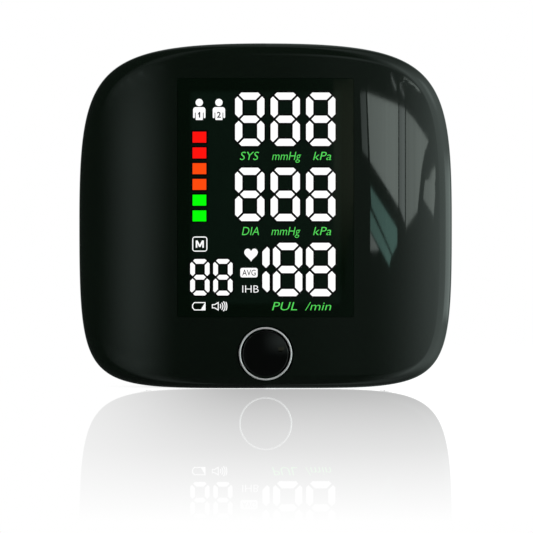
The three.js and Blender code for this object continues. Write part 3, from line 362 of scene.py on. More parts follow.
class MonitorSizes(bpy.types.PropertyGroup):
    seam_gap: length("Seam gap", "Gap between the two shells", 0.12)
    lens_gap: length("Window gap", "Gap round the window", 0.04)
    mark_proud: length("Mark height", "How far the lit marks stand proud of the window", 0.03)
    tape_width: length("Tape width", "Width of the binding tape on the cuff", 3.4)
    tape_thick: length("Tape thickness", "Thickness of the binding tape", 0.35)
    stitch_pitch: length("Stitch pitch", "Distance from one stitch to the next", 2.6)
    stitch_length: length("Stitch length", "Length of one stitch", 1.9)
    thread: length("Thread", "Thickness of the sewing thread", 0.34)


class MonitorColours(bpy.types.PropertyGroup):
    gloss: colour("Gloss black", "Front shell", 0.0021, 0.0045, 0.0024)
    button: colour("Button black", "Start button", 0.0006, 0.0007, 0.0006)
    window: colour("Window", "Border of the smoked window", 0.0008, 0.0037, 0.0013)
    inside: colour("Inside", "What shows through the smoked window", 0.0026, 0.0075, 0.0042)
    case: colour("Case", "Rear shell", 0.012, 0.013, 0.013)
    white: colour("Lit white", "Lit numerals", 1.0, 1.0, 1.0)
    red: colour("Lit red", "Upper level bars", 1.0, 0.004, 0.002)
    orange: colour("Lit orange", "Middle level bars", 1.0, 0.065, 0.002)
    green: colour("Lit green", "Lower level bars", 0.0, 1.0, 0.0)
    label: colour("Label green", "Lit words", 0.09, 0.68, 0.1)
    fabric: colour("Cuff fabric", "Brushed loop fabric outside the cuff", 0.017, 0.018, 0.02)
    lining: colour("Cuff lining", "Woven fabric inside the cuff", 0.045, 0.048, 0.054)
    tape: colour("Tape", "Binding tape", 0.013, 0.0135, 0.015)
    thread: colour("Thread", "Sewing thread", 0.05, 0.052, 0.057)


# Meshes

SMOOTH_ANGLE = 35
WELD = 2e-6
FINE_WELD = 1e-9
BORDER_CLEAR = 0.55
SQUARE = ((-1, -1), (1, -1), (1, 1), (-1, 1))


class Skin:
    """Faces gathered with their corners, and welded where they meet."""

    def __init__(self):
        self.places = []
        self.faces = []

    def add(self, places):
        start = len(self.places)
        self.places.extend(tuple(map(float, place)) for place in places)
        return start

    def face(self, *corners):
        self.faces.append(corners)

    def loft(self, rings, closed=True):
        """Quads from ring to ring."""
        starts = [self.add(ring) for ring in rings]
        count = len(rings[0])
        last = count if closed else count - 1
        for a, b in zip(starts, starts[1:]):
            for i in range(last):
                j = (i + 1) % count
                self.face(a + i, a + j, b + j, b + i)

    def solid(self, rings):
        """Quads from ring to ring, with a face at either end."""
        start, size = len(self.places), len(rings[0])
        self.loft(rings)
        self.face(*range(start, start + size))
        self.face(*range(len(self.places) - size, len(self.places)))

    def panel(self, places):
        """One face over corners of its own."""
        start = self.add(places)
        self.face(*range(start, len(self.places)))

    def join(self, other):
        """Takes over the faces of another skin."""
        start = self.add(other.places)
        self.faces += [tuple(start + i for i in face) for face in other.faces]

    def fill(self, loops, lift, step=MESH_STEP):
        """Triangles between flat loops of [x, z] points, the first one outermost, lifted to a surface."""
        border = np.concatenate(loops)
        edges = []
        start = 0
        for loop in loops:
            count = len(loop)
            edges += [(start + i, start + (i + 1) % count) for i in range(count)]
            start += count
        low, high = border.min(0), border.max(0)
        grid = np.stack(np.meshgrid(*[np.arange(a, b, step) for a, b in zip(low, high)]), -1).reshape(-1, 2)
        grid = grid[inside(grid, loops)]
        apart = np.sqrt(((grid[:, None] - border[None]) ** 2).sum(-1)).min(1)
        points = np.concatenate([border, grid[apart > BORDER_CLEAR * step]])
        flat, _, triangles, *_ = delaunay_2d_cdt([Vector(p) for p in points], edges, [], 0, 1e-9)
        flat = np.array([tuple(p) for p in flat])
        triangles = np.array(triangles)
        triangles = triangles[inside(flat[triangles].mean(1), loops)]
        start = self.add([(x, lift(x, z), z) for x, z in flat])
        for a, b, c in triangles:
            self.face(start + int(a), start + int(b), start + int(c))

    def plate(self, points, faces):
        """A plate as deep as a mark, from faces on flat [x, z] points, with walls on their free edges."""
        a = self.add([(x, 0.0, z) for x, z in points])
        b = self.add([(x, MARK_DEPTH, z) for x, z in points])
        edges = {}
        for corners in faces:
            self.face(*[a + i for i in corners])
            self.face(*[b + i for i in reversed(corners)])
            for i, j in zip(corners, [*corners[1:], corners[0]]):
                if (j, i) in edges:
                    del edges[j, i]
                else:
                    edges[i, j] = True
        for i, j in edges:
            self.face(a + j, a + i, b + i, b + j)

    def mesh(self, name, weld=WELD, uvs=None):
        mesh = bpy.data.meshes.new(name)
        mesh.from_pydata(self.places, [], self.faces)
        if uvs is not None:
            layer = mesh.uv_layers.new(name="UVMap")
            corners = np.zeros(len(mesh.loops), np.int32)
            mesh.loops.foreach_get("vertex_index", corners)
            layer.data.foreach_set("uv", np.asarray(uvs, np.float32)[corners].ravel())
        work = bmesh.new()
        work.from_mesh(mesh)
        bmesh.ops.remove_doubles(work, verts=work.verts, dist=weld)
        bmesh.ops.recalc_face_normals(work, faces=work.faces)
        work.to_mesh(mesh)
        work.free()
        return mesh


def inside(points, loops):
    """Which [x, z] points lie inside an odd number of loops."""
    odd = np.zeros(len(points), bool)
    for loop in loops:
        loop = np.asarray(loop)
        for (x0, z0), (x1, z1) in zip(loop, np.roll(loop, -1, 0)):
            if z0 != z1:
                spans = (z0 > points[:, 1]) != (z1 > points[:, 1])
                odd ^= spans & (points[:, 0] < (x1 - x0) * (points[:, 1] - z0) / (z1 - z0) + x0)
    return odd


def linked(name, data):
    """A new object in the scene."""
    made = bpy.data.objects.new(name, data)
    bpy.context.scene.collection.objects.link(made)
    return made


def piece(mesh, name, *materials, smooth_angle=SMOOTH_ANGLE):
    """A finished object with its mesh in place."""
    made = linked(name, mesh)
    mesh.materials.clear()
    for material in materials:
        mesh.materials.append(material)
    mesh.shade_smooth()
    mesh.set_sharp_from_angle(angle=math.radians(smooth_angle))
    return made


def remove(made):
    """Deletes an object, and its data once nothing else uses it."""
    data = made.data
    bpy.data.objects.remove(made)
    if data.users == 0:
        store = bpy.data.meshes if isinstance(data, bpy.types.Mesh) else bpy.data.curves
        store.remove(data)


def evaluated(made):
    """A plain mesh of an object with its modifiers applied."""
    depsgraph = bpy.context.evaluated_depsgraph_get()
    return bpy.data.meshes.new_from_object(made.evaluated_get(depsgraph), depsgraph=depsgraph)


def round_turns(count):
    """Even turns once round, in radians."""
    return np.linspace(0, 2 * math.pi, count, endpoint=False)


def circle(radius, centre, sides):
    turn = round_turns(sides)
    return np.stack([centre[0] + radius * np.cos(turn), centre[1] + radius * np.sin(turn)], 1)


def rounded(width, height, radius, centre=(0.0, 0.0), corner_steps=6, step=None):
    """A rectangle with round corners as [x, z] points, its sides cut into steps if one is given."""
    points = []
    w, h = width / 2 - radius, height / 2 - radius
    for quarter, (x, z) in enumerate(((w, h), (-w, h), (-w, -h), (w, -h))):
        for i in range(corner_steps + 1):
            turn = (quarter + i / corner_steps) * math.pi / 2
            points.append((centre[0] + x + radius * math.cos(turn), centre[1] + z + radius * math.sin(turn)))
    if step is None:
        return np.array(points)
    cut = []
    for a, b in zip(points, [*points[1:], points[0]]):
        count = max(1, round(math.dist(a, b) / step))
        cut += [(a[0] + (b[0] - a[0]) * i / count, a[1] + (b[1] - a[1]) * i / count) for i in range(count)]
    return np.array(cut)


def turned(profile, centre, sides):
    """A closed [radius, y] profile that starts and ends on the axis, turned about an axis along Y."""
    skin = Skin()
    skin.loft([
        [(centre[0] + r * math.cos(t), y, centre[1] + r * math.sin(t)) for t in round_turns(sides)]
        for r, y in profile
    ])
    return skin


# Housing


def bezier(ends, steps):
    """Places and directions along a cubic curve, without its last end."""
    p0, p1, p2, p3 = (np.array(point) for point in ends)
    t = (np.arange(steps) / steps)[:, None]
    place = (1 - t) ** 3 * p0 + 3 * (1 - t) ** 2 * t * p1 + 3 * (1 - t) * t**2 * p2 + t**3 * p3
    along = (1 - t) ** 2 * (p1 - p0) + 2 * (1 - t) * t * (p2 - p1) + t**2 * (p3 - p2)
    return place, along / np.linalg.norm(along, axis=1)[:, None]


def housing_edge():
    """Places on the housing's outline and the directions into it."""
    lower = ((BASE_HALF, 0), (HALF - LOWER_CORNER_ACROSS, 0), (HALF, LOWER_CORNER_UP), (HALF, SIDE_HEIGHT))
    upper = (
        (HALF, SIDE_HEIGHT),
        (HALF, TOP - UPPER_CORNER_DOWN),
        (HALF - UPPER_CORNER_ACROSS, TOP),
        (0, TOP),
    )
    base = np.stack([np.arange(BASE_STEPS) * BASE_HALF / BASE_STEPS, np.zeros(BASE_STEPS)], 1)
    stretches = [
        (base, np.tile((1.0, 0.0), (BASE_STEPS, 1))),
        bezier(lower, OUTLINE_STEPS),
        bezier(upper, OUTLINE_STEPS),
        (np.array([(0, TOP)]), np.array([(-1.0, 0.0)])),
    ]
    place = np.concatenate([stretch[0] for stretch in stretches])
    along = np.concatenate([stretch[1] for stretch in stretches])
    inward = np.stack([-along[:, 1], along[:, 0]], 1)
    mirror = np.array([-1.0, 1.0])
    place = np.concatenate([place, (place * mirror)[-2:0:-1]])
    inward = np.concatenate([inward, (inward * mirror)[-2:0:-1]])
    return place, inward


EDGE_PLACE, EDGE_INWARD = housing_edge()


def rim(inset):
    return EDGE_PLACE + inset * EDGE_INWARD


def clamp(value, high=1.0):
    return min(max(value, 0.0), high)


def face_y(x, z=0.0):
    """Where the crowned front lies in Y."""
    return FRONT + CROWN * (abs(x) / HALF) ** CROWN_POWER


def back_y(x, z):
    """Where the back lies in Y: its flat rim, softly met by the hollow that the cuff sits in."""
    share = min(abs(z - CUFF_Z) / (CUFF_RISE + SADDLE_GAP), 1.0)
    hollow = CUFF_Y - (CUFF_REACH + SADDLE_GAP) * math.sqrt(1 - share * share)
    mix = clamp(0.5 + 0.5 * (hollow - RIM) / SADDLE_SOFT)
    return hollow + (RIM - hollow) * mix - SADDLE_SOFT * mix * (1 - mix)


def lifted(points, lift):
    return [(x, lift(x, z), z) for x, z in points]


def flat_at(y):
    return lambda x, z: y


def deeper(surface, depth):
    """A surface moved along Y."""
    return lambda x, z: surface(x, z) + depth


def between(low, high, share):
    """A surface part of the way from one surface to another."""
    return lambda x, z: (1 - share) * low(x, z) + share * high(x, z)


def rounding(radius, bends, surface, inset=0.0, way=1):
    """Rings over a rounded edge: on the surface at a bend of 0, outermost at a quarter turn."""
    rings = []
    for bend in bends:
        ring = rim(inset + radius * (1 - math.sin(bend)))
        rings.append(lifted(ring, deeper(surface, way * radius * (1 - math.cos(bend)))))
    return rings


def window_loop(gap):
    width = 2 * (LENS_HALF + gap)
    height = LENS_TOP - LENS_FOOT + 2 * gap
    centre = (0.0, (LENS_FOOT + LENS_TOP) / 2)
    return rounded(width, height, WINDOW_CORNER + gap, centre, corner_steps=5, step=MESH_STEP)


def front_shell(sizes):
    """The crowned front shell with its window and button openings."""
    skin = Skin()
    within = deeper(face_y, WALL)
    rings = [
        lifted(rim(EDGE_RADIUS), within),
        lifted(rim(WALL), deeper(face_y, EDGE_RADIUS)),
        lifted(rim(WALL), flat_at(SEAM)),
        *rounding(SEAM_ROUND, SEAM_BENDS, flat_at(SEAM), way=-1),
    ]
    for i in range(1, FRONT_WALL_STEPS):
        side = between(flat_at(SEAM - SEAM_ROUND), deeper(face_y, EDGE_RADIUS), i / FRONT_WALL_STEPS)
        rings.append(lifted(rim(0), side))
    bends = (np.arange(EDGE_STEPS, -1, -1) / EDGE_STEPS) ** EDGE_CROWDING * math.pi / 2
    rings += rounding(EDGE_RADIUS, bends, face_y)
    rings += [lifted(rim(EDGE_RADIUS + inset), face_y) for inset in FACE_INSETS]
    skin.loft(rings)
    window = window_loop(sizes.lens_gap)
    hole = circle(RING_OUTER + GROOVE, (0.0, BUTTON_Z), GROOVE_SIDES)
    skin.fill([rim(EDGE_RADIUS + FACE_INSETS[-1]), window, hole], face_y)
    skin.fill([rim(EDGE_RADIUS), window, hole], within, INSIDE_STEP)
    for loop in (window, hole):
        skin.loft([lifted(loop, face_y), lifted(loop, within)])
    return skin.mesh("front_shell")


def window_pane():
    """The smoked pane, its front flush with the shell."""
    skin = Skin()
    front, edge = window_loop(-WINDOW_BREAK), window_loop(0.0)
    within = deeper(face_y, LENS_DEPTH)
    skin.fill([front], face_y, PANE_STEP)
    skin.loft([lifted(front, face_y), lifted(edge, deeper(face_y, WINDOW_BREAK)), lifted(edge, within)])
    skin.fill([edge], within, PANE_INSIDE_STEP)
    return skin.mesh("window_pane")


def node_centre(node):
    low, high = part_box(node)
    return (low + high) / 2


CASE_SCREWS = [f"case_screw_{i}" for i in range(1, 5)]
CUFF_SCREWS = [f"cuff_screw_{i}" for i in range(1, 5)]
SCREW_WELL = 2.3 * MM
SOUND_HOLE = 0.5 * MM
SOUND_REACH = 1.9 * MM
SOUND_HOLES = 6
CUFF_HOLE = 2.5 * MM
WELL_SIDES = 40
SOUND_SIDES = 16
CUFF_HOLE_SIDES = 24
SOCKET_GAP = 0.25 * MM
SLOT_INSIDE = 1.5 * MM
SLOT_OUTSIDE = 2 * MM


def back_holes():
    """Holes in the back: screw wells, sound holes, and the holes that the cuff is fixed through."""
    speaker = node_centre("speaker").xz
    sound = [speaker, *circle(SOUND_REACH, speaker, SOUND_HOLES)]
    fixings = [*(node_centre(node).xz for node in CUFF_SCREWS), (0.0, CUFF_Z)]
    return [
        *(circle(SCREW_WELL, node_centre(node).xz, WELL_SIDES) for node in CASE_SCREWS),
        *(circle(SOUND_HOLE, spot, SOUND_SIDES) for spot in sound),
        *(circle(CUFF_HOLE, spot, CUFF_HOLE_SIDES) for spot in fixings),
    ]


def rear_shell(sizes):
    """The rear shell with its lip, its hollow and the holes in its back."""
    skin = Skin()
    start = SEAM + sizes.seam_gap
    lip_outer = WALL + LIP_GAP
    lip_inner = lip_outer + LIP_WALL
    inside_wall = DRAFT + WALL
    within = deeper(back_y, -WALL)
    rings = [
        lifted(rim(inside_wall), within),
        lifted(rim(inside_wall), flat_at(start + 2 * LIP_HEIGHT)),
        lifted(rim(lip_inner), flat_at(start + LIP_HEIGHT)),
        lifted(rim(lip_inner), flat_at(SEAM - LIP_HEIGHT)),
        lifted(rim(lip_outer), flat_at(SEAM - LIP_HEIGHT)),
        lifted(rim(lip_outer), flat_at(start)),
        *rounding(SEAM_ROUND, SEAM_BENDS, flat_at(start)),
    ]
    for i in range(1, REAR_WALL_STEPS):
        share = i / REAR_WALL_STEPS
        side = between(flat_at(start + SEAM_ROUND), deeper(back_y, -REAR_RADIUS), share)
        rings.append(lifted(rim(share * DRAFT), side))
    rings += rounding(REAR_RADIUS, REAR_BENDS, back_y, DRAFT, -1)
    skin.loft(rings)
    holes = back_holes()
    skin.fill([rim(DRAFT + REAR_RADIUS), *holes], back_y)
    skin.fill([rim(inside_wall), *holes], within, INSIDE_STEP)
    for loop in holes:
        skin.loft([lifted(loop, back_y), lifted(loop, within)])
    return skin.mesh("rear_shell")


def socket_slot():
    """A tool that cuts the charging slot through the right-hand wall."""
    low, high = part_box("charging_socket")
    centre = (low + high) / 2
    deep, tall = high.y - low.y, high.z - low.z
    loop = rounded(deep + 2 * SOCKET_GAP, tall + 2 * SOCKET_GAP, deep / 2, corner_steps=10)
    ends = (high.x - SLOT_INSIDE, HALF + SLOT_OUTSIDE)
    skin = Skin()
    skin.solid([[(x, centre.y + y, centre.z + z) for y, z in loop] for x in ends])
    return skin.mesh("socket_slot")


def cut_out(made, tool_mesh):
    """Cuts one mesh from an object's own."""
    tool = linked("tool", tool_mesh)
    cut = made.modifiers.new("Cut", "BOOLEAN")
    cut.object = tool
    cut.solver = "EXACT"
    mesh = evaluated(made)
    made.modifiers.remove(cut)
    old = made.data
    made.data = mesh
    bpy.data.meshes.remove(old)
    remove(tool)


# Finishes

TURNED_LINES = 90000
LOOP_ROW = 1.5 * MM
LOOP_LENGTH = 2.1 * MM
YARN = 0.55 * MM
TWILL = 0.4 * MM


def grained(name, tint, tones, cloud, rough, bump=None, **constants):
    """A finish with cloud in its colour and grain in its gloss and relief, each ending with its noise."""
    finish = Finish(name, **constants)
    place = finish.place()
    finish.tone(finish.noise(place, *cloud), tint, *tones)
    least, spread, *grain = rough
    finish.set(roughness=least + spread * finish.noise(place, *grain))
    if bump:
        strength, distance, *grain = bump
        finish.bump(finish.noise(place, *grain), strength, distance)
    return finish.material


def polished(name, tint):
    """Polished moulded plastic, its colour and gloss faintly uneven."""
    return grained(name, tint, (0.8, 1.2), (60,), (0.012, 0.02, 900, 4), ior=1.5)


def spark_texture(colours):
    """Matt black plastic with a fine eroded texture."""
    grain = (2600, 5, 0.7)
    rough, bump = (0.42, 0.2, *grain), (0.35, 0.00012, *grain)
    return grained("case_black", colours.case, (0.85, 1.25), (45,), rough, bump, ior=1.46)


def plated_steel(name="plated_steel", tint=(0.6, 0.61, 0.62)):
    """Plating, a little dull in places."""
    rough, bump = (0.22, 0.16, 700, 4), (0.1, 0.00005, 3000)
    return grained(name, tint, (0.85, 1.1), (700, 4), rough, bump, metallic=1.0)


def sewing_thread(colours):
    """Twisted thread."""
    lay = (5000, 2)
    rough, bump = (0.55, 0.2, *lay), (0.4, 0.0001, *lay)
    return grained(
        "sewing_thread", colours.thread, (0.7, 1.3), lay, rough, bump, sheen_weight=0.2, ior=1.45
    )


def hook_nylon(colours):
    """Moulded nylon, paler than the tape."""
    rough, bump = (0.35, 0.2, 800), (0.2, 0.00008, 4000)
    return grained("hook_nylon", colours.tape, (1.2, 2.2), (800,), rough, bump, ior=1.5)


def moulded(name, tint, rough, metal):
    """A plain inner finish."""
    rough, bump = (rough - 0.06, 0.12, 1200, 3), (0.15, 0.00008, 1200, 3)
    return grained(name, tint, (0.8, 1.2), (150, 4), rough, bump, metallic=metal)


def smoked_window(colours):
    """Smoked plastic over an unlit display, a little greener inside its printed border."""
    finish = Finish("smoked_window", specular_ior_level=0.28)
    place = finish.place()
    x, _, z = finish.split(place)
    middle = (LENS_FOOT + LENS_TOP) / 2
    wide = LENS_HALF - WINDOW_BORDER
    tall = middle - LENS_FOOT - WINDOW_BORDER
    share = finish.bell(x, 0.0, wide - WINDOW_SOFT, wide) * finish.bell(z, middle, tall - WINDOW_SOFT, tall)
    share = share * (0.75 + 0.5 * finish.noise(place, 90))
    finish.set(base_color=finish.blend(share, rgba(colours.window), rgba(colours.inside)))
    finish.set(roughness=0.04 + 0.03 * finish.noise(place, 900, 4))
    return finish.material


def lit(name, colour):
    """A lit mark behind gloss: it shines almost evenly."""
    finish = Finish(name, roughness=0.12, base_color=scaled(colour, 0.1), emission_strength=1.0)
    cloud = finish.noise(finish.place(), 250)
    finish.set(emission_color=finish.blend(cloud, scaled(colour, 0.94), rgba(colour)))
    return finish.material


def shade_and_print_black():
    """A near-black finish: a painted dark halo of shade round each lit mark, and the dark print on lit
    symbols.
    """
    finish = Finish("mark_surround", roughness=0.1)
    grain = finish.noise(finish.place(), 1500)
    finish.set(base_color=finish.blend(grain, (0.0002, 0.0003, 0.0002, 1), (0.0005, 0.0007, 0.0005, 1)))
    return finish.material


def chrome():
    """Bright plating with hairline turning marks."""
    finish = Finish("chrome_trim", metallic=0.55)
    place = finish.place()
    x, _, z = finish.split(place)
    radius = (x * x + (z - BUTTON_Z) * (z - BUTTON_Z)) ** 0.5
    lines = 0.5 + 0.5 * (radius * TURNED_LINES).sine()
    cloud = finish.noise(place, 400)
    finish.set(base_color=finish.blend(cloud, (0.76, 0.77, 0.77, 1), (0.84, 0.845, 0.85, 1)))
    finish.set(roughness=0.26 + 0.08 * cloud + 0.04 * lines)
    return finish.material


def loop_fabric(colours):
    """Brushed loop knit: rows of loops under short curled pile."""
    finish = Finish("loop_fabric", sheen_weight=0.35, sheen_roughness=0.45, ior=1.4)
    uv = finish.uv()
    u, v, _ = finish.split(uv)
    pile = finish.noise(uv, 1700, 6, 0.75)
    tufts = finish.add(
        "ShaderNodeTexVoronoi", {"feature": "SMOOTH_F1"}, {"Vector": uv, "Scale": 950.0}, "Distance"
    )
    drift = 2.5 * finish.noise(uv, 220, 3)
    row = 0.5 + 0.5 * (v * (2 * math.pi / LOOP_ROW) + drift).sine()
    loop = 0.5 + 0.5 * (u * (2 * math.pi / LOOP_LENGTH) + 2 * drift).sine()
    knit = row * (0.45 + 0.55 * loop)
    height = 0.5 * pile + 0.4 * tufts + 0.6 * knit
    base = finish.blend(finish.noise(uv, 70, 4), scaled(colours.fabric, 0.7), scaled(colours.fabric, 1.25))
    # Painted shade and highlight: the colour follows the knit and pile of the relief, lighter on their
    # crests, over a random base tone.
    finish.set(base_color=finish.blend(0.3 * pile + 0.6 * knit, base, scaled(colours.fabric, 2.9)))
    finish.set(roughness=0.85 + 0.12 * pile)
    finish.bump(height, 0.6, 0.00028)
    return finish.material


def woven_lining(colours):
    """Plain weave: yarns over and under each other along both ways of the cloth."""
    finish = Finish("woven_lining", sheen_weight=0.2, sheen_roughness=0.5, ior=1.4)
    u, v, _ = finish.split(finish.uv())
    warp = (u * (math.pi / YARN)).sine()
    weft = (v * (math.pi / YARN)).sine()
    over = finish.smooth(warp * weft, -0.25, 0.25)
    height = over * abs(warp) + (1 - over) * abs(weft)
    cloud = finish.noise(finish.uv(), 120, 4)
    # Painted shade: the colour follows the weave's relief, darker where the yarns dip, with a random cloud
    # in it.
    finish.tone(height * (0.7 + 0.3 * cloud), colours.lining, 0.55, 1.35)
    finish.set(roughness=0.8 + 0.12 * cloud)
    finish.bump(height, 0.6, 0.0002)
    return finish.material


def twill_tape(colours):
    """Binding tape with a diagonal twill."""
    finish = Finish("twill_tape", sheen_weight=0.15, sheen_roughness=0.4, ior=1.4)
    uv = finish.uv()
    u, v, _ = finish.split(uv)
    twill = abs(((u + v) * (math.pi / TWILL)).sine())
    fuzz = finish.noise(uv, 2200, 4)
    # Painted shade: the colour follows the twill and fuzz of the relief, darker in their hollows.
    finish.tone(twill * 0.8 + fuzz * 0.2, colours.tape, 0.6, 1.7)
    finish.set(roughness=0.7 + 0.15 * fuzz)
    finish.bump(twill * 0.8 + fuzz * 0.3, 0.5, 0.00015)
    return finish.material


# Geometry Nodes


def new_tree(name, sockets):
    """A geometry tree with named inputs, and its input terms."""
    tree = bpy.data.node_groups.new(name, "GeometryNodeTree")
    for label, kind in {"Geometry": "Geometry", **sockets}.items():
        tree.interface.new_socket(label, in_out="INPUT", socket_type=f"NodeSocket{kind}")
    tree.interface.new_socket("Geometry", in_out="OUTPUT", socket_type="NodeSocketGeometry")
    graph = Graph(tree)
    return graph, graph.add("NodeGroupInput", output=None)


def end_tree(graph, geometry, material):
    """Realizes what a tree has made and gives it its material."""
    real = graph.add("GeometryNodeRealizeInstances", None, {0: geometry})
    dressed = graph.add("GeometryNodeSetMaterial", None, {"Geometry": real, "Material": material})
    graph.add("NodeGroupOutput", None, {0: dressed})
    return graph.tree


def end_with_copies(graph, term, points, turn, sizes):
    """Ends a tree with turned and sized copies of its shape on points."""
    shape = graph.add("GeometryNodeObjectInfo", None, {"Object": term["Shape"]}, "Geometry")
    size = graph.add("ShaderNodeCombineXYZ", None, dict(zip("XYZ", sizes)))
    copies = graph.add("GeometryNodeInstanceOnPoints", None, {
        "Points": points, "Instance": shape, "Rotation": turn, "Scale": size,
    })
    return end_tree(graph, copies, term["Material"])


def crown_tree():
    """Repeats a flat mark along a line and lays the copies on the crowned front."""
    graph, term = new_tree("Lay marks", {
        "Count": "Int", "Start": "Vector", "Step": "Vector", "Cuts": "Int", "Front": "Float",
        "Half width": "Float", "Crown": "Float", "Crown power": "Float", "Material": "Material",
    })
    line = graph.add(
        "GeometryNodeMeshLine",
        {"mode": "OFFSET"},
        {"Count": term["Count"], "Start Location": term["Start"], "Offset": term["Step"]},
    )
    copies = graph.add("GeometryNodeInstanceOnPoints", None, {"Points": line, "Instance": term["Geometry"]})
    real = graph.add("GeometryNodeRealizeInstances", None, {0: copies})
    fine = graph.add("GeometryNodeSubdivideMesh", None, {"Mesh": real, "Level": term["Cuts"]})
    x, _, _ = graph.split(graph.add("GeometryNodeInputPosition"))
    depth = term["Front"] + term["Crown"] * (abs(x) / term["Half width"]) ** term["Crown power"]
    offset = graph.add("ShaderNodeCombineXYZ", None, {"Y": depth})
    laid = graph.add("GeometryNodeSetPosition", None, {"Geometry": fine, "Offset": offset})
    return end_tree(graph, laid, term["Material"])


def path_tree():
    """Sets copies of a shape at a pitch along paths, each in line with its path."""
    graph, term = new_tree("Along paths", {
        "Shape": "Object", "Pitch": "Float", "Length": "Float", "Thickness": "Float", "Material": "Material",
    })
    curve = graph.add("GeometryNodeMeshToCurve", None, {"Mesh": term["Geometry"]})
    inputs = {"Curve": curve, "Length": term["Pitch"]}
    points = graph.add("GeometryNodeCurveToPoints", {"mode": "LENGTH"}, inputs, None)
    turn = graph.add("FunctionNodeAlignRotationToVector", {"axis": "X"}, {"Vector": points["Tangent"]})
    sizes = (term["Length"], term["Thickness"], term["Thickness"])
    return end_with_copies(graph, term, points["Points"], turn, sizes)


def stand_tree():
    """Stands copies of a shape on points, each along the point's own direction and a little different."""
    graph, term = new_tree("Stand on points", {
        "Shape": "Object", "Size": "Float", "Lean": "Float", "Seed": "Int", "Material": "Material",
    })
    vector = {"data_type": "FLOAT_VECTOR"}
    away = graph.add("GeometryNodeInputNamedAttribute", vector, {"Name": "away"})
    low, high = (-1.0, -1.0, -1.0), (1.0, 1.0, 1.0)
    drift = graph.add("FunctionNodeRandomValue", vector, {0: low, 1: high, "Seed": term["Seed"]})
    small = graph.add("ShaderNodeVectorMath", {"operation": "SCALE"}, {0: drift, "Scale": term["Lean"]})
    way = graph.add("ShaderNodeVectorMath", {"operation": "ADD"}, {0: away, 1: small})
    turn = graph.add("FunctionNodeAlignRotationToVector", {"axis": "Z"}, {"Vector": way})
    return end_with_copies(graph, term, term["Geometry"], turn, [term["Size"]] * 3)


TREES = {}


def tree(maker):
    if maker not in TREES:
        TREES[maker] = maker()
    return TREES[maker]


def grown(mesh, group, values):
    """The plain mesh that a tree makes of a mesh."""
    base = linked("base", mesh)
    modifier = base.modifiers.new("Tree", "NODES")
    modifier.node_group = group
    for socket in group.interface.items_tree:
        if socket.in_out == "INPUT" and socket.name in values:
            modifier[socket.identifier] = values[socket.name]
    result = evaluated(base)
    remove(base)
    return result


def copied(name, shape_mesh, base, maker, material, values):
    """Copies of a shape that a tree sets on a base mesh, as one piece."""
    shape = linked("shape", shape_mesh)
    shape.hide_render = True
    mesh = grown(base, tree(maker), {"Shape": shape, "Material": material, **values})
    remove(shape)
    return piece(mesh, name, material)


def spots(name, places, ways):
    """Points for a tree to stand copies on, each with its own direction."""
    mesh = bpy.data.meshes.new(name)
    mesh.from_pydata(places, [], [])
    away = mesh.attributes.new("away", "FLOAT_VECTOR", "POINT")
    away.data.foreach_set("vector", np.array(ways, np.float32).ravel())
    return mesh


# Display marks


def numeral(width, height, thick, corner, gap):
    """Outlines of a numeral's bars round its middle, in millimetres: three level bars and four upright."""
    w, h = width / 2, height / 2
    miss = gap / math.sqrt(2)
    point = w - thick / 2 - miss
    shoulder = thick / 2 + miss
    top = [
        (corner - w, h),
        (w - corner, h),
        (w - (corner + miss) / 2, h - (corner - miss) / 2),
        (w - thick - miss, h - thick),
        (thick + miss - w, h - thick),
        ((corner + miss) / 2 - w, h - (corner - miss) / 2),
    ]
    side = [
        (w, h - corner),
        (w - (corner - miss) / 2, h - (corner + miss) / 2),
        (w - thick, h - thick - miss),
        (w - thick, shoulder),
        (w - thick / 2, miss),
        (w, shoulder),
    ]
    centre = [
        (-point, 0),
        (thick / 2 - point, -thick / 2),
        (point - thick / 2, -thick / 2),
        (point, 0),
        (point - thick / 2, thick / 2),
        (thick / 2 - point, thick / 2),
    ]
    level = [top, flipped(top, 1, -1), centre]
    upright = [flipped(side, x, z) for x, z in ((1, 1), (1, -1), (-1, 1), (-1, -1))]
    return [np.array(bar) * MM for bar in level], [np.array(bar) * MM for bar in upright]


def flipped(points, x, z):
    return [(x * px, z * pz) for px, pz in points]


def anticlockwise(points):
    points = np.asarray(points)
    area = np.cross(points, np.roll(points, -1, 0)).sum()
    return points if area > 0 else points[::-1]


def grown_out(points, margin):
    """A convex outline moved out by a margin."""
    points = anticlockwise(points)
    out = []
    for before, here, after in zip(np.roll(points, 1, 0), points, np.roll(points, -1, 0)):
        a, b = here - before, after - here
        a, b = (np.array((v[1], -v[0])) / np.linalg.norm(v) for v in (a, b))
        out.append(here + margin * (a + b) / (1 + a @ b))
    return np.array(out)


def merged(skin, outlines):
    """A flat plate over the union of some outlines."""
    outlines = [anticlockwise(outline) for outline in outlines]
    points = [Vector(p) for outline in outlines for p in outline]
    faces = []
    start = 0
    for outline in outlines:
        faces.append(list(range(start, start + len(outline))))
        start += len(outline)
    flat, _, triangles, _, _, owners = delaunay_2d_cdt(points, [], faces, 1, 1e-8)
    kept = [one_way(flat, t) for t, owner in zip(triangles, owners) if owner]
    skin.plate([tuple(p) for p in flat], kept)


def one_way(flat, corners):
    """A triangle's corners, turned so that they run one way."""
    a, b, c = (flat[i] for i in corners)
    turn = (b - a).cross(c - a)
    return list(corners) if turn > 0 else list(reversed(corners))


def lay(name, skin, material, proud, count=1, start=(0, 0, 0), step=(0, 0, 0), cuts=2):
    """Marks laid on the crowned front and carried by the housing."""
    values = {
        "Count": count,
        "Start": tuple(map(float, start)),
        "Step": tuple(map(float, step)),
        "Cuts": cuts,
        "Front": FRONT - proud,
        "Half width": HALF,
        "Crown": CROWN,
        "Crown power": CROWN_POWER,
        "Material": material,
    }
    made = piece(grown(skin.mesh(name), tree(crown_tree), values), name, material)
    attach(made, "housing")


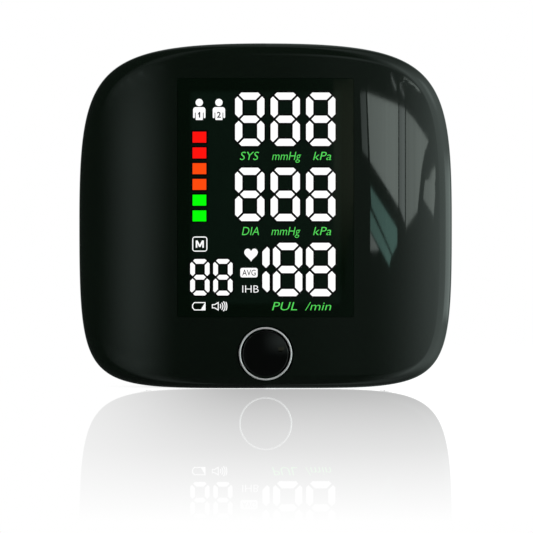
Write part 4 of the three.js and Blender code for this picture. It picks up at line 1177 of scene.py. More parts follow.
def bars_skin(bars):
    skin = Skin()
    for bar in bars:
        points = grown_out(bar, -LIT_INSET)
        skin.plate(points, [list(range(len(points)))])
    return skin


# Plates for the painted dark halo of shade round each lit mark
def surround_skin(bars):
    skin = Skin()
    merged(skin, [grown_out(bar, SURROUND) for bar in bars])
    return skin


def flat_text(words, shear=0.0, weight=0.0):
    """Words as a flat mesh in X and Z, with the height of a capital as 1."""

    def outline(text):
        curve = bpy.data.curves.new("words", "FONT")
        curve.body = text
        curve.shear = shear
        curve.offset = weight
        curve.resolution_u = 3
        curve.extrude = 0.02
        made = linked("words", curve)
        mesh = evaluated(made)
        remove(made)
        return mesh

    capital = outline("H")
    unit = max(v.co.y for v in capital.vertices)
    bpy.data.meshes.remove(capital)
    mesh = outline(words)
    places = [(v.co.x / unit, v.co.z / unit, v.co.y / unit) for v in mesh.vertices]
    faces = [tuple(face.vertices) for face in mesh.polygons]
    bpy.data.meshes.remove(mesh)
    return places, faces


def add_words(skin, words, left, right, foot, capital, shear=0.0, weight=0.0):
    """Words fitted between two sides, standing on a foot line."""
    places, faces = flat_text(words, shear, weight)
    low = min(place[0] for place in places)
    high = max(place[0] for place in places)
    stretch = (right - left) / (high - low)
    depth = MARK_DEPTH / (max(p[1] for p in places) - min(p[1] for p in places))
    front = min(place[1] for place in places)
    start = skin.add([
        (left + (x - low) * stretch, (y - front) * depth, foot + z * capital) for x, y, z in places
    ])
    for corners in faces:
        skin.face(*[start + i for i in corners])


# Rows of the display from the top, with their words and the sides that each is fitted between
CAPITAL = 1.7 * MM
WORD_DROP = 8.5 * MM
WORD_ROWS = (
    (2, (("SYS", -5.36, -1.38), ("mmHg", 1.34, 7.4), ("kPa", 9.92, 13.68))),
    (1, (("DIA", -4.94, -1.38), ("mmHg", 1.2, 7.25), ("kPa", 9.92, 13.68))),
    (0, (("PUL", 1.34, 6.57), ("/min", 8.24, 13.68))),
)


def row_z(row):
    return LENS_FOOT + ROW_FOOT + row * ROW_PITCH


def arc(centre, radius, thick, from_degrees, to_degrees, steps=10):
    """A bent stroke as an outline."""
    turns = np.radians(np.linspace(from_degrees, to_degrees, steps))
    ways = np.stack([np.cos(turns), np.sin(turns)], 1)
    inner, outer = centre + ways * (radius - thick / 2), centre + ways * (radius + thick / 2)
    return np.concatenate([outer, inner[::-1]])


# A figure in millimetres: its head as radius, height and sides, then shoulders, trunk and arms as width,
# height, corner radius and middle
FIGURE_HEAD = (0.77, 3.66, 24)
FIGURE = (
    (2.58, 1.15, 0.55, 0, 2.12),
    (1.5, 2.2, 0.15, 0, 1.1),
    (0.38, 1.9, 0.18, -1.1, 1.35),
    (0.38, 1.9, 0.18, 1.1, 1.35),
)
HEART_POINTS = 48


def person(x, foot):
    """Outlines of a figure that stands on a foot line."""
    radius, up, sides = FIGURE_HEAD
    outlines = [circle(radius * MM, (x, foot + up * MM), sides)]
    for width, height, corner, across, up in FIGURE:
        centre = (x + across * MM, foot + up * MM)
        outlines.append(rounded(width * MM, height * MM, corner * MM, centre))
    return outlines


def heart(left, right, foot, top):
    """A heart fitted between two sides, a foot and a top, from the usual curve."""
    turns = round_turns(HEART_POINTS)
    x = 16 * np.sin(turns) ** 3
    z = 13 * np.cos(turns) - 5 * np.cos(2 * turns) - 2 * np.cos(3 * turns) - np.cos(4 * turns)
    x = left + (x - x.min()) * (right - left) / (x.max() - x.min())
    z = foot + (z - z.min()) * (top - foot) / (z.max() - z.min())
    return np.stack([x, z], 1)


def frame_plate(skin, outer, inner):
    """A flat frame between two outlines, as a plate."""
    count = len(outer)
    faces = [[i, (i + 1) % count, count + (i + 1) % count, count + i] for i in range(count)]
    skin.plate(np.concatenate([outer, inner]), faces)


# Cuff


def cuff_place(degrees, offset):
    """A place on the loop's outer face as (y, z), moved out square to it by an offset."""
    turn = math.radians(degrees)
    c, s = math.cos(turn), math.sin(turn)
    out = Vector((-c / CUFF_REACH, s / CUFF_RISE)).normalized()
    return CUFF_Y - CUFF_REACH * c + out.x * offset, CUFF_Z + CUFF_RISE * s + out.y * offset


def strap_lift(degrees):
    """How far the free end's outer face has climbed from the fixed end's."""
    t = clamp((RISE_FROM - degrees) / RISE_SWEEP)
    return STRAP_LIFT * t * t * (3 - 2 * t)


def strap_half(degrees):
    """Half the strap's width, rounded off at its end."""
    left = math.radians(degrees - STRAP_END) * CUFF_MEAN
    into = clamp(STRAP_ROUND - left, STRAP_ROUND)
    return CUFF_HALF - (STRAP_ROUND - math.sqrt(STRAP_ROUND**2 - into**2))


def sleeve_slack(degrees):
    """How far the fixed part's outer face starts inside its full size, because it swells."""
    t = min((degrees - SLEEVE_ENDS[0]) / SLACK_SWEEP, 1.0)
    return -SLEEVE_SLACK * t


class Band:
    """A padded strip round the loop: its middle, half thickness and half width at each angle."""

    def __init__(self, ends, inner, outer, half, edge, pinched):
        self.ends = ends
        self.inner = inner
        self.outer = outer
        self.half = half
        self.edge = edge
        self.pinched = pinched

    def length(self, degrees):
        """Rough length along the loop from the band's first end."""
        return math.radians(abs(degrees - self.ends[0])) * CUFF_MEAN

    def angles(self, step):
        """Angles from end to end, about a step apart along the loop."""
        count = max(2, round(self.length(self.ends[1]) / step))
        return np.linspace(*self.ends, count + 1)

    def swell(self, degrees, side):
        """Share of the full thickness: less where the plies are sewn together."""
        share = self.edge + (1 - self.edge) * (1 - abs(side) ** EDGE_POWER) ** 0.5
        for end, closed in zip(self.ends, self.pinched):
            reach = math.radians(abs(degrees - end)) * CUFF_RISE / SEWN_REACH
            if closed and reach < 1:
                share = min(share, self.edge + (1 - self.edge) * (1 - (1 - reach) ** 2) ** 0.5)
        return share

    def place(self, degrees, side, face, lift=0.0):
        """A place on the outer (1) or inner (-1) face, or between them."""
        low, high = self.inner(degrees), self.outer(degrees)
        half = (high - low) / 2 * self.swell(degrees, side)
        y, z = cuff_place(degrees, (low + high) / 2 + face * (half + lift))
        return side * self.half(degrees), y, z


def band_mesh(band, name, step, across):
    """A closed mesh over a band with UVs in metres of cloth, its inner faces in the second material."""
    angles = band.angles(step)
    sides = np.sin(np.linspace(-1, 1, across + 1) * math.pi / 2)
    around = 2 * (across + 1)
    rings = [
        [band.place(angle, side, face) for face, way in ((1, sides), (-1, sides[::-1])) for side in way]
        for angle in angles
    ]
    uvs = [(band.length(angle), place[0]) for angle, ring in zip(angles, rings) for place in ring]
    skin = Skin()
    skin.loft(rings)
    inner = [j > across for _ in angles[1:] for j in range(around)]
    for start in (0, len(skin.places) - around):
        for j in range(across):
            far = start + around - 1 - j
            skin.face(start + j, start + j + 1, far - 1, far)
            inner.append(False)
    mesh = skin.mesh(name, weld=FINE_WELD, uvs=uvs)
    mesh.polygons.foreach_set("material_index", np.array(inner, np.int32))
    held = [
        abs(sides[min(j, around - 1 - j)]) > SEWN_SIDE or angle in band.ends
        for angle in angles
        for j in range(around)
    ]
    return mesh, held


# Cloth run that swells a padded piece
SWELL_FRAMES = 18
SWELL_ENLARGE = 10.0
SWELL_SETTINGS = {
    "quality": 6,
    "vertex_group_mass": "held",
    "use_pressure": True,
    "uniform_pressure_force": 3.0,
    "tension_stiffness": 12,
    "compression_stiffness": 6,
    "shear_stiffness": 6,
    "bending_stiffness": 0.4,
}


def swollen(made, held, limit):
    """Swells a padded piece with a short cloth run on an enlarged copy, and caps how far a point moves."""
    rest = np.array([v.co for v in made.data.vertices])
    copy = linked("swelling", made.data.copy())
    copy.data.transform(Matrix.Scale(SWELL_ENLARGE, 4))
    group = copy.vertex_groups.new(name="held")
    group.add([i for i, fixed in enumerate(held) if fixed], 1.0, "REPLACE")
    cloth = copy.modifiers.new("Swell", "CLOTH")
    for name, value in SWELL_SETTINGS.items():
        setattr(cloth.settings, name, value)
    cloth.settings.effector_weights.gravity = 0
    cloth.collision_settings.use_collision = False
    cloth.point_cache.frame_start = 1
    cloth.point_cache.frame_end = SWELL_FRAMES
    scene = bpy.context.scene
    for number in range(1, SWELL_FRAMES + 1):
        scene.frame_set(number)
        bpy.context.view_layer.update()
    mesh = evaluated(copy)
    moved = np.array([v.co for v in mesh.vertices]) / SWELL_ENLARGE - rest
    scene.frame_set(1)
    remove(copy)
    bpy.data.meshes.remove(mesh)
    far = np.linalg.norm(moved, axis=1)
    moved *= np.minimum(1.0, limit / np.maximum(far, 1e-12))[:, None]
    made.data.vertices.foreach_set("co", (rest + moved).astype(np.float32).ravel())
    made.data.update()


def tape_section(band, places, lift, bulge):
    """A ring round a folded tape: over the outer face, round the fold, over the inner face and under it."""
    outer = [Vector(band.place(*place, 1, lift)) for place in places]
    inner = [Vector(band.place(*place, -1, lift)) for place in reversed(places)]
    under = [Vector(band.place(*places[0], face, -TAPE_TUCK)) for face in (-1, 1)]
    middle, half = (outer[-1] + inner[0]) / 2, (outer[-1] - inner[0]) / 2
    turns = [i / FOLD_STEPS * math.pi for i in range(1, FOLD_STEPS)]
    fold = [middle + half * math.cos(turn) + bulge * math.sin(turn) for turn in turns]
    return [*outer, *fold, *inner, *under]


def tape_mesh(name, sections):
    """A tape through rings, each given with its distance along the tape."""
    skin = Skin()
    skin.solid([ring for _, ring in sections])
    uvs = []
    for along, ring in sections:
        widths = np.cumsum([0] + [(a - b).length for a, b in zip(ring, ring[1:])])
        uvs += [(along, width) for width in widths]
    return skin.mesh(name, weld=FINE_WELD, uvs=uvs)


def edge_tape(band, name, sizes, side, step):
    """Binding tape folded over one long edge of a band."""
    bulge = Vector((side * TAPE_BULGE * sizes.tape_thick, 0, 0))
    sections = []
    for angle in band.angles(step):
        shares = np.linspace(1 - sizes.tape_width / band.half(angle), 1, TAPE_POINTS)
        places = [(angle, side * share) for share in shares]
        sections.append((band.length(angle), tape_section(band, places, sizes.tape_thick, bulge)))
    return tape_mesh(name, sections)


def edge_tapes(band, stem, sizes, step):
    """Binding tapes for both long edges of a band, by name."""
    sides = {f"{stem}_tape_left": -1, f"{stem}_tape_right": 1}
    return {name: edge_tape(band, name, sizes, side, step) for name, side in sides.items()}


def end_tape(band, name, sizes, end, onward):
    """Binding tape folded over one end of a band, over the tapes of its long edges."""
    reach = math.degrees(sizes.tape_width / CUFF_MEAN)
    lift = END_TAPE_LIFT * sizes.tape_thick
    angles = np.linspace(end - onward * reach, end, END_TAPE_POINTS)
    sections = []
    for side in np.linspace(-1, 1, END_TAPE_STEPS):
        way = (Vector(band.place(end, side, 0)) - Vector(band.place(end - onward, side, 0))).normalized()
        way.x = 0
        places = [(angle, side) for angle in angles]
        section = tape_section(band, places, lift, way * lift * END_TAPE_LIFT)
        sections.append((side * band.half(end), section))
    return tape_mesh(name, sections)


def stitch_lines(band, sizes):
    """Lines of sewing on the tapes of a band, on both its faces."""
    mesh = bpy.data.meshes.new("stitch_lines")
    places, edges = [], []
    angles = band.angles(SEWING_STEP)
    for face in (1, -1):
        for side in (1, -1):
            start = len(places)
            for angle in angles:
                share = 1 - SEWING_INSET * sizes.tape_width / band.half(angle)
                places.append(band.place(angle, side * share, face, SEWING_LIFT * sizes.tape_thick))
            edges += [(i, i + 1) for i in range(start, len(places) - 1)]
    mesh.from_pydata(places, edges, [])
    return mesh


# One stitch of unit length, from end to end: places along it, radii and heights
STITCH = (
    (-0.5, 0.15, -0.12),
    (-0.42, 0.42, -0.03),
    (-0.2, 0.5, 0.01),
    (0.2, 0.5, 0.01),
    (0.42, 0.42, -0.03),
    (0.5, 0.15, -0.12),
)
STITCH_SIDES = 6


def stitch_shape():
    """A short bow of thread whose ends go in."""
    skin = Skin()
    skin.solid([
        [(along, radius * math.cos(t), lift + radius * math.sin(t)) for t in round_turns(STITCH_SIDES)]
        for along, radius, lift in STITCH
    ])
    return skin.mesh("stitch")


def sew(name, band, sizes, material):
    """Stitches along the tapes of a band, as one piece."""
    values = {"Pitch": sizes.stitch_pitch, "Length": sizes.stitch_length, "Thickness": sizes.thread}
    return copied(name, stitch_shape(), stitch_lines(band, sizes), path_tree, material, values)


def strap_band(ends):
    closed = (ends[0] == STRAP_START, ends[1] == STRAP_END)
    return Band(ends, lambda a: strap_lift(a) - STRAP_THICK, strap_lift, strap_half, STRAP_EDGE, closed)


def hinge_place(degrees):
    """A place on the strap's outer face, in the row frame."""
    y, z = cuff_place(degrees, strap_lift(degrees))
    return (0.0, y, z)


# Operators


def carry(made, body, slot, *nodes):
    """Gives a piece the body that carries it and hides the nodes that it stands for; the slot is not used.
    """
    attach(made, body)
    if nodes:
        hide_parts(*nodes)


class Maker:
    """What the operators share."""

    bl_options = {"REGISTER", "UNDO"}

    def execute(self, context):
        self.sizes = context.scene.monitor_sizes
        self.colours = context.scene.monitor_colours
        self.make()
        return {"FINISHED"}


class MONITOR_OT_shells(Maker, bpy.types.Operator):
    """Front and rear shells"""

    bl_idname = "monitor.shells"
    bl_label = "Shells"

    def make(self):
        front = piece(front_shell(self.sizes), "front_shell", polished("gloss_black", self.colours.gloss))
        carry(front, "housing", "gloss_black", "front_cover")
        rear = piece(rear_shell(self.sizes), "rear_shell", spark_texture(self.colours))
        cut_out(rear, socket_slot())
        rear.data.set_sharp_from_angle(angle=math.radians(SMOOTH_ANGLE))
        carry(rear, "housing", "case_black", "rear_case")


class MONITOR_OT_window(Maker, bpy.types.Operator):
    """Smoked window"""

    bl_idname = "monitor.window"
    bl_label = "Window"

    def make(self):
        pane = piece(window_pane(), "window_pane", smoked_window(self.colours))
        carry(pane, "housing", "smoked_window", "display_lens")


class MONITOR_OT_button(Maker, bpy.types.Operator):
    """Start button and its bright ring"""

    bl_idname = "monitor.button"
    bl_label = "Button"

    def make(self):
        self.ring((0.0, BUTTON_Z))
        self.cap((0.0, BUTTON_Z))

    def ring(self, centre):
        """The trim ring: round in front, with a tail that goes into the shell."""
        half = RING_WIDTH / 2
        middle = RING_OUTER - RING_INSET - half
        profile = []
        for turn in round_turns(RING_STEPS):
            along = math.sin(turn)
            tail = RING_TAIL if along > 0 else 0.0
            profile.append((middle + half * math.cos(turn), ring_low.y + half + half * along + tail))
        mesh = turned([*profile, profile[0]], centre, RING_SIDES).mesh("trim_ring")
        carry(piece(mesh, "trim_ring", chrome()), "housing", "chrome_trim", "button_ring")

    def cap(self, centre):
        """The button: domed in front, with a rounded edge."""
        flat = CAP_RADIUS - CAP_EDGE
        end = CAP_FRONT + CAP_DEPTH
        radii = np.linspace(0, flat, CAP_DOME_STEPS)
        dome = [(r, CAP_FRONT + CAP_DOME * (r / CAP_RADIUS) ** 2) for r in radii]
        foot = dome[-1][1]
        edge = [
            (flat + CAP_EDGE * math.sin(t), foot + CAP_EDGE * (1 - math.cos(t)))
            for t in np.linspace(0, math.pi / 2, CAP_EDGE_STEPS)[1:]
        ]
        mesh = turned([*dome, *edge, (CAP_RADIUS, end), (0, end)], centre, CAP_SIDES).mesh("start_cap")
        cap = piece(mesh, "start_cap", polished("button_black", self.colours.button))
        carry(cap, "button", "gloss_black", "start_button")


class MONITOR_OT_numerals(Maker, bpy.types.Operator):
    """Lit numerals and level bars, with their dark surrounds"""

    bl_idname = "monitor.numerals"
    bl_label = "Numerals"

    def make(self):
        white = lit("lit_white", self.colours.white)
        black = shade_and_print_black()
        level, upright = numeral(**DIGIT)
        full = level + upright
        rows = (
            ("pulse", full, 2, (DIGIT_RIGHT, 0, row_z(0)), (-PULSE_PITCH, 0, 0)),
            ("lower", full, 3, (DIGIT_RIGHT, 0, row_z(1)), (-DIGIT_PITCH, 0, 0)),
            ("upper", full, 3, (DIGIT_RIGHT, 0, row_z(2)), (-DIGIT_PITCH, 0, 0)),
            ("leading_one", upright[:2], 1, self.leading_place(), (0, 0, 0)),
        )
        for name, bars, count, start, step in rows:
            self.both(name, bars, count, start, step, white, black)
        level, upright = numeral(**MEMORY_DIGIT)
        start = (MEMORY_LEFT, 0, LENS_FOOT + MEMORY_FOOT)
        self.both("memory", level + upright, 2, start, (MEMORY_PITCH, 0, 0), white, black)
        bar = [rounded(*LEVEL_SIZE, LEVEL_CORNER, corner_steps=2)]
        for i, name in enumerate(("green", "orange", "red")):
            start = (LEVEL_LEFT, 0, LENS_FOOT + LEVEL_FOOT + 2 * i * LEVEL_PITCH)
            shade = lit(f"lit_{name}", getattr(self.colours, name))
            self.both(f"level_{name}", bar, 2, start, (0, 0, LEVEL_PITCH), shade, black)

    def leading_place(self):
        stroke = (DIGIT["width"] - DIGIT["thick"]) * MM / 2
        return (LEADING_ONE - stroke, 0, row_z(0))

    def both(self, name, bars, count, start, step, light, dark):
        lay(f"{name}_marks", bars_skin(bars), light, self.sizes.mark_proud, count, start, step)
        # The surrounds are a painted dark halo of shade round each lit mark.
        lay(f"{name}_surrounds", surround_skin(bars), dark, self.sizes.mark_proud / 2, count, start, step)


class MONITOR_OT_labels(Maker, bpy.types.Operator):
    """Lit words for the readings and their units"""

    bl_idname = "monitor.labels"
    bl_label = "Labels"

    def make(self):
        skin = Skin()
        for row, words in WORD_ROWS:
            foot = row_z(row) - WORD_DROP
            for word, left, right in words:
                add_words(skin, word, left * MM, right * MM, foot, CAPITAL, WORD_SHEAR, WORD_WEIGHT)
        lay("unit_words", skin, lit("lit_label", self.colours.label), self.sizes.mark_proud, cuts=0)


class MONITOR_OT_symbols(Maker, bpy.types.Operator):
    """Lit symbols: users, memory, heart, mean, pulse rhythm, battery and sound"""

    bl_idname = "monitor.symbols"
    bl_label = "Symbols"

    # Places from the middle and the foot of the window, and outlines; numbers without a unit are millimetres
    USERS = (-13.83, -9.73)
    USER_FOOT = 41.1
    ONE = ((-0.3, 0.8), (0, 1.2), (0.2, 1.2), (0.2, 0), (-0.08, 0), (-0.08, 0.75), (-0.3, 0.55))
    NUMBER_RISE = 0.5
    NUMBER_HALF = 0.42
    NUMBER_WEIGHT = 0.02
    PRINT_CAPITAL = 1.2 * MM
    PRINT_PROUD = 1.6
    MEMORY_BOX = (-13.72, 15.23)
    MEMORY_SIZE = 3.15
    MEMORY_LINE = 0.21
    MEMORY_CORNERS = (0.6 * MM, 0.3 * MM)
    LETTER_DROP = 0.75
    LETTER = (
        (0.84, 0), (0.84, 1.5), (0.46, 1.5), (0, 0.6), (-0.46, 1.5), (-0.84, 1.5), (-0.84, 0),
        (-0.52, 0), (-0.52, 0.95), (-0.16, 0.15), (0.16, 0.15), (0.52, 0.95), (0.52, 0),
    )
    HEART = ((-4.45, 11.5), (-1.62, 14.28))
    BADGE = (-3.47, 9.27)
    BADGE_SIZE = (3.6 * MM, 1.98 * MM)
    BADGE_CORNER = 0.4 * MM
    BADGE_WORD = (1.4, 0.6)
    BADGE_WEIGHT = 0.005
    RHYTHM = ((-4.85, 5.1), (-1.45, 5.1))
    RHYTHM_CAPITAL = 1.5 * MM
    RHYTHM_WEIGHT = -0.01
    BATTERY = (-13.93, 2.26)
    CELL = ((-1.4, 0.33), (-1.4, -0.33), (-0.96, -0.86), (1.4, -0.86), (1.4, 0.86), (-0.96, 0.86))
    CELL_INNER = (
        (-1.2, 0.24), (-1.2, -0.24), (-0.87, -0.67), (1.21, -0.67), (1.21, 0.67), (-0.87, 0.67),
    )
    CHARGE = ((0.45, -0.67), (1.21, -0.67), (1.21, 0.6))
    LOUDSPEAKER = (-11.2, 2.26)
    HORN = ((0, -0.42), (0.52, -0.42), (1.42, -0.95), (1.42, 0.95), (0.52, 0.42), (0, 0.42))
    HORN_INNER = ((0.17, -0.24), (0.6, -0.24), (1.23, -0.62), (1.23, 0.62), (0.6, 0.24), (0.17, 0.24))
    WAVE_MIDDLE = 1.1
    WAVE_LINE = 0.2 * MM
    WAVES = ((0.75, 34), (1.2, 38), (1.65, 38), (2.02, 26))

    def make(self):
        skin = Skin()
        black = Skin()
        self.users(skin, black)
        self.memory(skin)
        (left, foot), (right, top) = self.on_window(self.HEART)
        merged(skin, [heart(left, right, foot, top)])
        self.badge(skin, black)
        (left, foot), (right, _) = self.on_window(self.RHYTHM)
        add_words(skin, "IHB", left, right, foot, self.RHYTHM_CAPITAL, 0, self.RHYTHM_WEIGHT)
        self.battery(skin)
        self.loudspeaker(skin)
        proud = self.sizes.mark_proud
        lay("symbols", skin, lit("lit_symbol", self.colours.white), proud, cuts=1)
        lay("symbol_prints", black, shade_and_print_black(), self.PRINT_PROUD * proud, cuts=0)

    def on_window(self, points, centre=(0.0, 0.0)):
        """Places on the window for points in millimetres round a centre."""
        return (0.0, LENS_FOOT) + (np.array(centre) + np.array(points)) * MM

    def users(self, skin, black):
        """Two users with their numbers."""
        for x in self.USERS:
            merged(skin, person(x * MM, LENS_FOOT + self.USER_FOOT * MM))
        first, second = ((x, self.USER_FOOT + self.NUMBER_RISE) for x in self.USERS)
        merged(black, [self.on_window(self.ONE, first)])
        sides = ((-self.NUMBER_HALF, 0), (self.NUMBER_HALF, 0))
        (left, foot), (right, _) = self.on_window(sides, second)
        add_words(black, "2", left, right, foot, self.PRINT_CAPITAL, 0, self.NUMBER_WEIGHT)

    def memory(self, skin):
        """A boxed letter."""
        centre = self.on_window(self.MEMORY_BOX)
        widths = (self.MEMORY_SIZE * MM, (self.MEMORY_SIZE - 2 * self.MEMORY_LINE) * MM)
        outlines = [rounded(w, w, corner, centre) for w, corner in zip(widths, self.MEMORY_CORNERS)]
        frame_plate(skin, *outlines)
        x, z = self.MEMORY_BOX
        merged(skin, [self.on_window(self.LETTER, (x, z - self.LETTER_DROP))])

    def badge(self, skin, black):
        """A plate with the word for the mean."""
        merged(skin, [rounded(*self.BADGE_SIZE, self.BADGE_CORNER, self.on_window(self.BADGE))])
        half, drop = self.BADGE_WORD
        (left, foot), (right, _) = self.on_window(((-half, -drop), (half, -drop)), self.BADGE)
        add_words(black, "AVG", left, right, foot, self.PRINT_CAPITAL, 0, self.BADGE_WEIGHT)

    def battery(self, skin):
        """A cell with a notched end and a low charge."""
        cell = [self.on_window(points, self.BATTERY) for points in (self.CELL, self.CELL_INNER)]
        frame_plate(skin, *cell)
        merged(skin, [self.on_window(self.CHARGE, self.BATTERY)])

    def loudspeaker(self, skin):
        """A horn and the sound that leaves it."""
        horn = [self.on_window(points, self.LOUDSPEAKER) for points in (self.HORN, self.HORN_INNER)]
        frame_plate(skin, *horn)
        middle = self.on_window((self.WAVE_MIDDLE, 0), self.LOUDSPEAKER)
        merged(skin, [arc(middle, radius * MM, self.WAVE_LINE, -half, half) for radius, half in self.WAVES])


class MONITOR_OT_screws(Maker, bpy.types.Operator):
    """Case screws in their wells, and the seats that they bear on"""

    bl_idname = "monitor.screws"
    bl_label = "Screws"

    HEAD_TALL = 1.4 * MM
    HEAD = ((0, 0.95), (0.5, 0.9), (0.85, 0.66), (1, 0.3), (1, 0))
    HEAD_SIDES = 40
    SHANK = 1 * MM
    SHANK_LONG = 6 * MM
    SLOT = (0.34 * MM, 2.4 * MM)
    SLOT_FLOOR = 0.45
    SEAT_DEPTH = 1.5 * MM
    BORE = 1.2 * MM
    POST = 3 * MM
    POST_START = SEAM + 1 * MM
    POST_SIDES = 32
    SEED = 3

    def make(self):
        low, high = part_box(CASE_SCREWS[0])
        seat = high.y - self.SEAT_DEPTH
        centres = [node_centre(node) for node in CASE_SCREWS]
        points = spots("screw_spots", [(c.x, seat, c.z) for c in centres], [(0.0, 1.0, 0.0)] * len(centres))
        values = {"Size": 1.0, "Lean": 0.0, "Seed": self.SEED}
        shape = self.screw((high.x - low.x) / 2)
        screws = copied("case_screws", shape, points, stand_tree, plated_steel(), values)
        carry(screws, "housing", "steel", *CASE_SCREWS)
        start = self.POST_START
        corners = ((self.BORE, seat), (self.POST, seat), (self.POST, start), (self.BORE, start))
        seats = Skin()
        for c in centres:
            seats.join(turned([*corners, corners[0]], c.xz, self.POST_SIDES))
        posts = piece(seats.mesh("screw_posts"), "screw_posts", spark_texture(self.colours))
        carry(posts, "housing", "case_black")

    def screw(self, head):
        """A screw along Z with a domed head and a cross slot."""
        tall = self.HEAD_TALL
        profile = [(head * radius, tall * height) for radius, height in self.HEAD]
        profile += [(self.SHANK, 0), (self.SHANK, -self.SHANK_LONG), (0, -self.SHANK_LONG)]
        screw = piece(turned(profile, (0, 0), self.HEAD_SIDES).mesh("screw"), "screw")
        depths = (tall * self.SLOT_FLOOR, tall * 2)
        for wide, long in (self.SLOT, self.SLOT[::-1]):
            tool = Skin()
            tool.solid([[(x * wide / 2, y, z * long / 2) for x, z in SQUARE] for y in depths])
            cut_out(screw, tool.mesh("slot"))
        mesh = screw.data.copy()
        mesh.transform(Matrix.Rotation(math.pi / 2, 4, "X"))
        remove(screw)
        return mesh


class MONITOR_OT_cuff(Maker, bpy.types.Operator):
    """Fixed part of the cuff: padded sleeve, binding tape and sewing"""

    bl_idname = "monitor.cuff"
    bl_label = "Cuff sleeve"

    FILL = 0.6

    def make(self):
        sizes = self.sizes
        half = CUFF_HALF - sizes.tape_thick
        band = Band(
            SLEEVE_ENDS, lambda a: -CUFF_THICK, sleeve_slack, lambda a: half, SLEEVE_EDGE, (True, True)
        )
        outer, lining = loop_fabric(self.colours), woven_lining(self.colours)
        mesh, held = band_mesh(band, "cuff_sleeve", SLEEVE_STEP, CLOTH_ACROSS)
        sleeve = piece(mesh, "cuff_sleeve", outer, lining, smooth_angle=CLOTH_ANGLE)
        swollen(sleeve, held, SLEEVE_SWELL)
        nodes = ("cuff_outer", "cuff_lining", "cuff_binding_left", "cuff_binding_right")
        carry(sleeve, "housing", "black_fabric", *nodes)
        tapes = edge_tapes(band, "sleeve", sizes, SLEEVE_STEP)
        tapes["sleeve_end_tape"] = end_tape(band, "sleeve_end_tape", sizes, SLEEVE_ENDS[1], 1)
        tape = twill_tape(self.colours)
        for name, mesh in tapes.items():
            carry(piece(mesh, name, tape, smooth_angle=TAPE_ANGLE), "housing", "black_fabric")
        stitches = sew("sleeve_stitches", band, sizes, sewing_thread(self.colours))
        carry(stitches, "housing", "black_fabric")


class MONITOR_OT_strap(Maker, bpy.types.Operator):
    """Free end of the cuff in two padded lengths, with their tape and sewing"""

    bl_idname = "monitor.strap"
    bl_label = "Cuff strap"

    FILL = 0.5
    # Lengths of the strap: name, ends, node, bodies, hinge, and degrees before and after the hinge
    LENGTHS = (
        ("wing", (STRAP_START, STRAP_JOIN), "cuff_wing", ("housing", "wing"), WING_HINGE, 0.3, 9),
        ("flap", (STRAP_JOIN, STRAP_END), "cuff_flap", ("wing", "flap"), FLAP_HINGE, 7, 8),
    )

    def make(self):
        sizes = self.sizes
        outer, lining = loop_fabric(self.colours), woven_lining(self.colours)
        tape, thread = twill_tape(self.colours), sewing_thread(self.colours)
        for name, ends, node, bodies, hinge, before, after in self.LENGTHS:
            band = strap_band(ends)
            start, end = hinge_place(hinge + before), hinge_place(hinge - after)
            mesh, held = band_mesh(band, f"strap_{name}", STRAP_STEP, CLOTH_ACROSS)
            strap = piece(mesh, f"strap_{name}", outer, lining, smooth_angle=CLOTH_ANGLE)
            swollen(strap, held, STRAP_SWELL)
            tapes = edge_tapes(band, f"strap_{name}", sizes, STRAP_STEP)
            if name == "flap":
                tapes["strap_end_tape"] = end_tape(band, "strap_end_tape", sizes, STRAP_END, -1)
            trim = [piece(mesh, label, tape, smooth_angle=TAPE_ANGLE) for label, mesh in tapes.items()]
            for made in (strap, *trim, sew(f"strap_{name}_stitches", band, sizes, thread)):
                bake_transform(made)
            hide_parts(node)


class MONITOR_OT_hooks(Maker, bpy.types.Operator):
    """Hook pad under the strap's end"""

    bl_idname = "monitor.hooks"
    bl_label = "Hook pad"

    BASE_INNER = 0.75 * MM
    BASE_OUTER = 1.38 * MM
    BASE_EDGE = 0.8
    BASE_STEP = 1.2 * MM
    BASE_ACROSS = 20
    PITCH = 1.05 * MM
    MARGIN = 3
    SPREAD = 0.93
    SUNK = 0.03 * MM
    TALL = 0.55 * MM
    LEAN = 0.18
    SEED = 11
    # A stem with a mushroom head, one unit tall: radii and heights
    HOOK = ((0, 0), (0.2, 0), (0.13, 0.25), (0.12, 0.62), (0.34, 0.7), (0.3, 0.88), (0, 1.0))
    HOOK_SIDES = 6
    HOOK_WELD = 1e-4

    def make(self):
        nylon = hook_nylon(self.colours)
        base = Band(
            HOOK_ENDS, lambda a: self.BASE_INNER, lambda a: self.BASE_OUTER, lambda a: HOOK_HALF,
            self.BASE_EDGE, (True, True),
        )
        mesh, _ = band_mesh(base, "hook_tape", self.BASE_STEP, self.BASE_ACROSS)
        pad = piece(mesh, "hook_tape", nylon, nylon, smooth_angle=TAPE_ANGLE)
        carry(pad, "flap", "hook_tape", "hook_patch")
        values = {"Size": self.TALL, "Lean": self.LEAN, "Seed": self.SEED}
        hooks = copied("hook_pile", self.hook(), self.rows(base), stand_tree, nylon, values)
        carry(hooks, "flap", "hook_tape")

    def rows(self, base):
        """Points in rows over the inner face of the base, facing inwards."""
        first, last = HOOK_ENDS
        rows = round(base.length(last) / self.PITCH) - self.MARGIN
        columns = round(2 * HOOK_HALF / self.PITCH) - self.MARGIN
        places, ways = [], []
        for i in range(rows):
            angle = first + (last - first) * (i + 2) / (rows + self.MARGIN)
            way = (Vector(cuff_place(angle, 0.0)) - Vector(cuff_place(angle, 1 * MM))).normalized()
            for j in range(columns):
                side = self.SPREAD * (2 * j / (columns - 1) - 1)
                places.append(base.place(angle, side, -1, -self.SUNK))
                ways.append((0.0, way.x, way.y))
        return spots("hook_spots", places, ways)

    def hook(self):
        turns = round_turns(self.HOOK_SIDES)
        skin = Skin()
        skin.loft([[(r * math.cos(t), r * math.sin(t), z) for t in turns] for r, z in self.HOOK])
        return skin.mesh("hook", weld=self.HOOK_WELD)


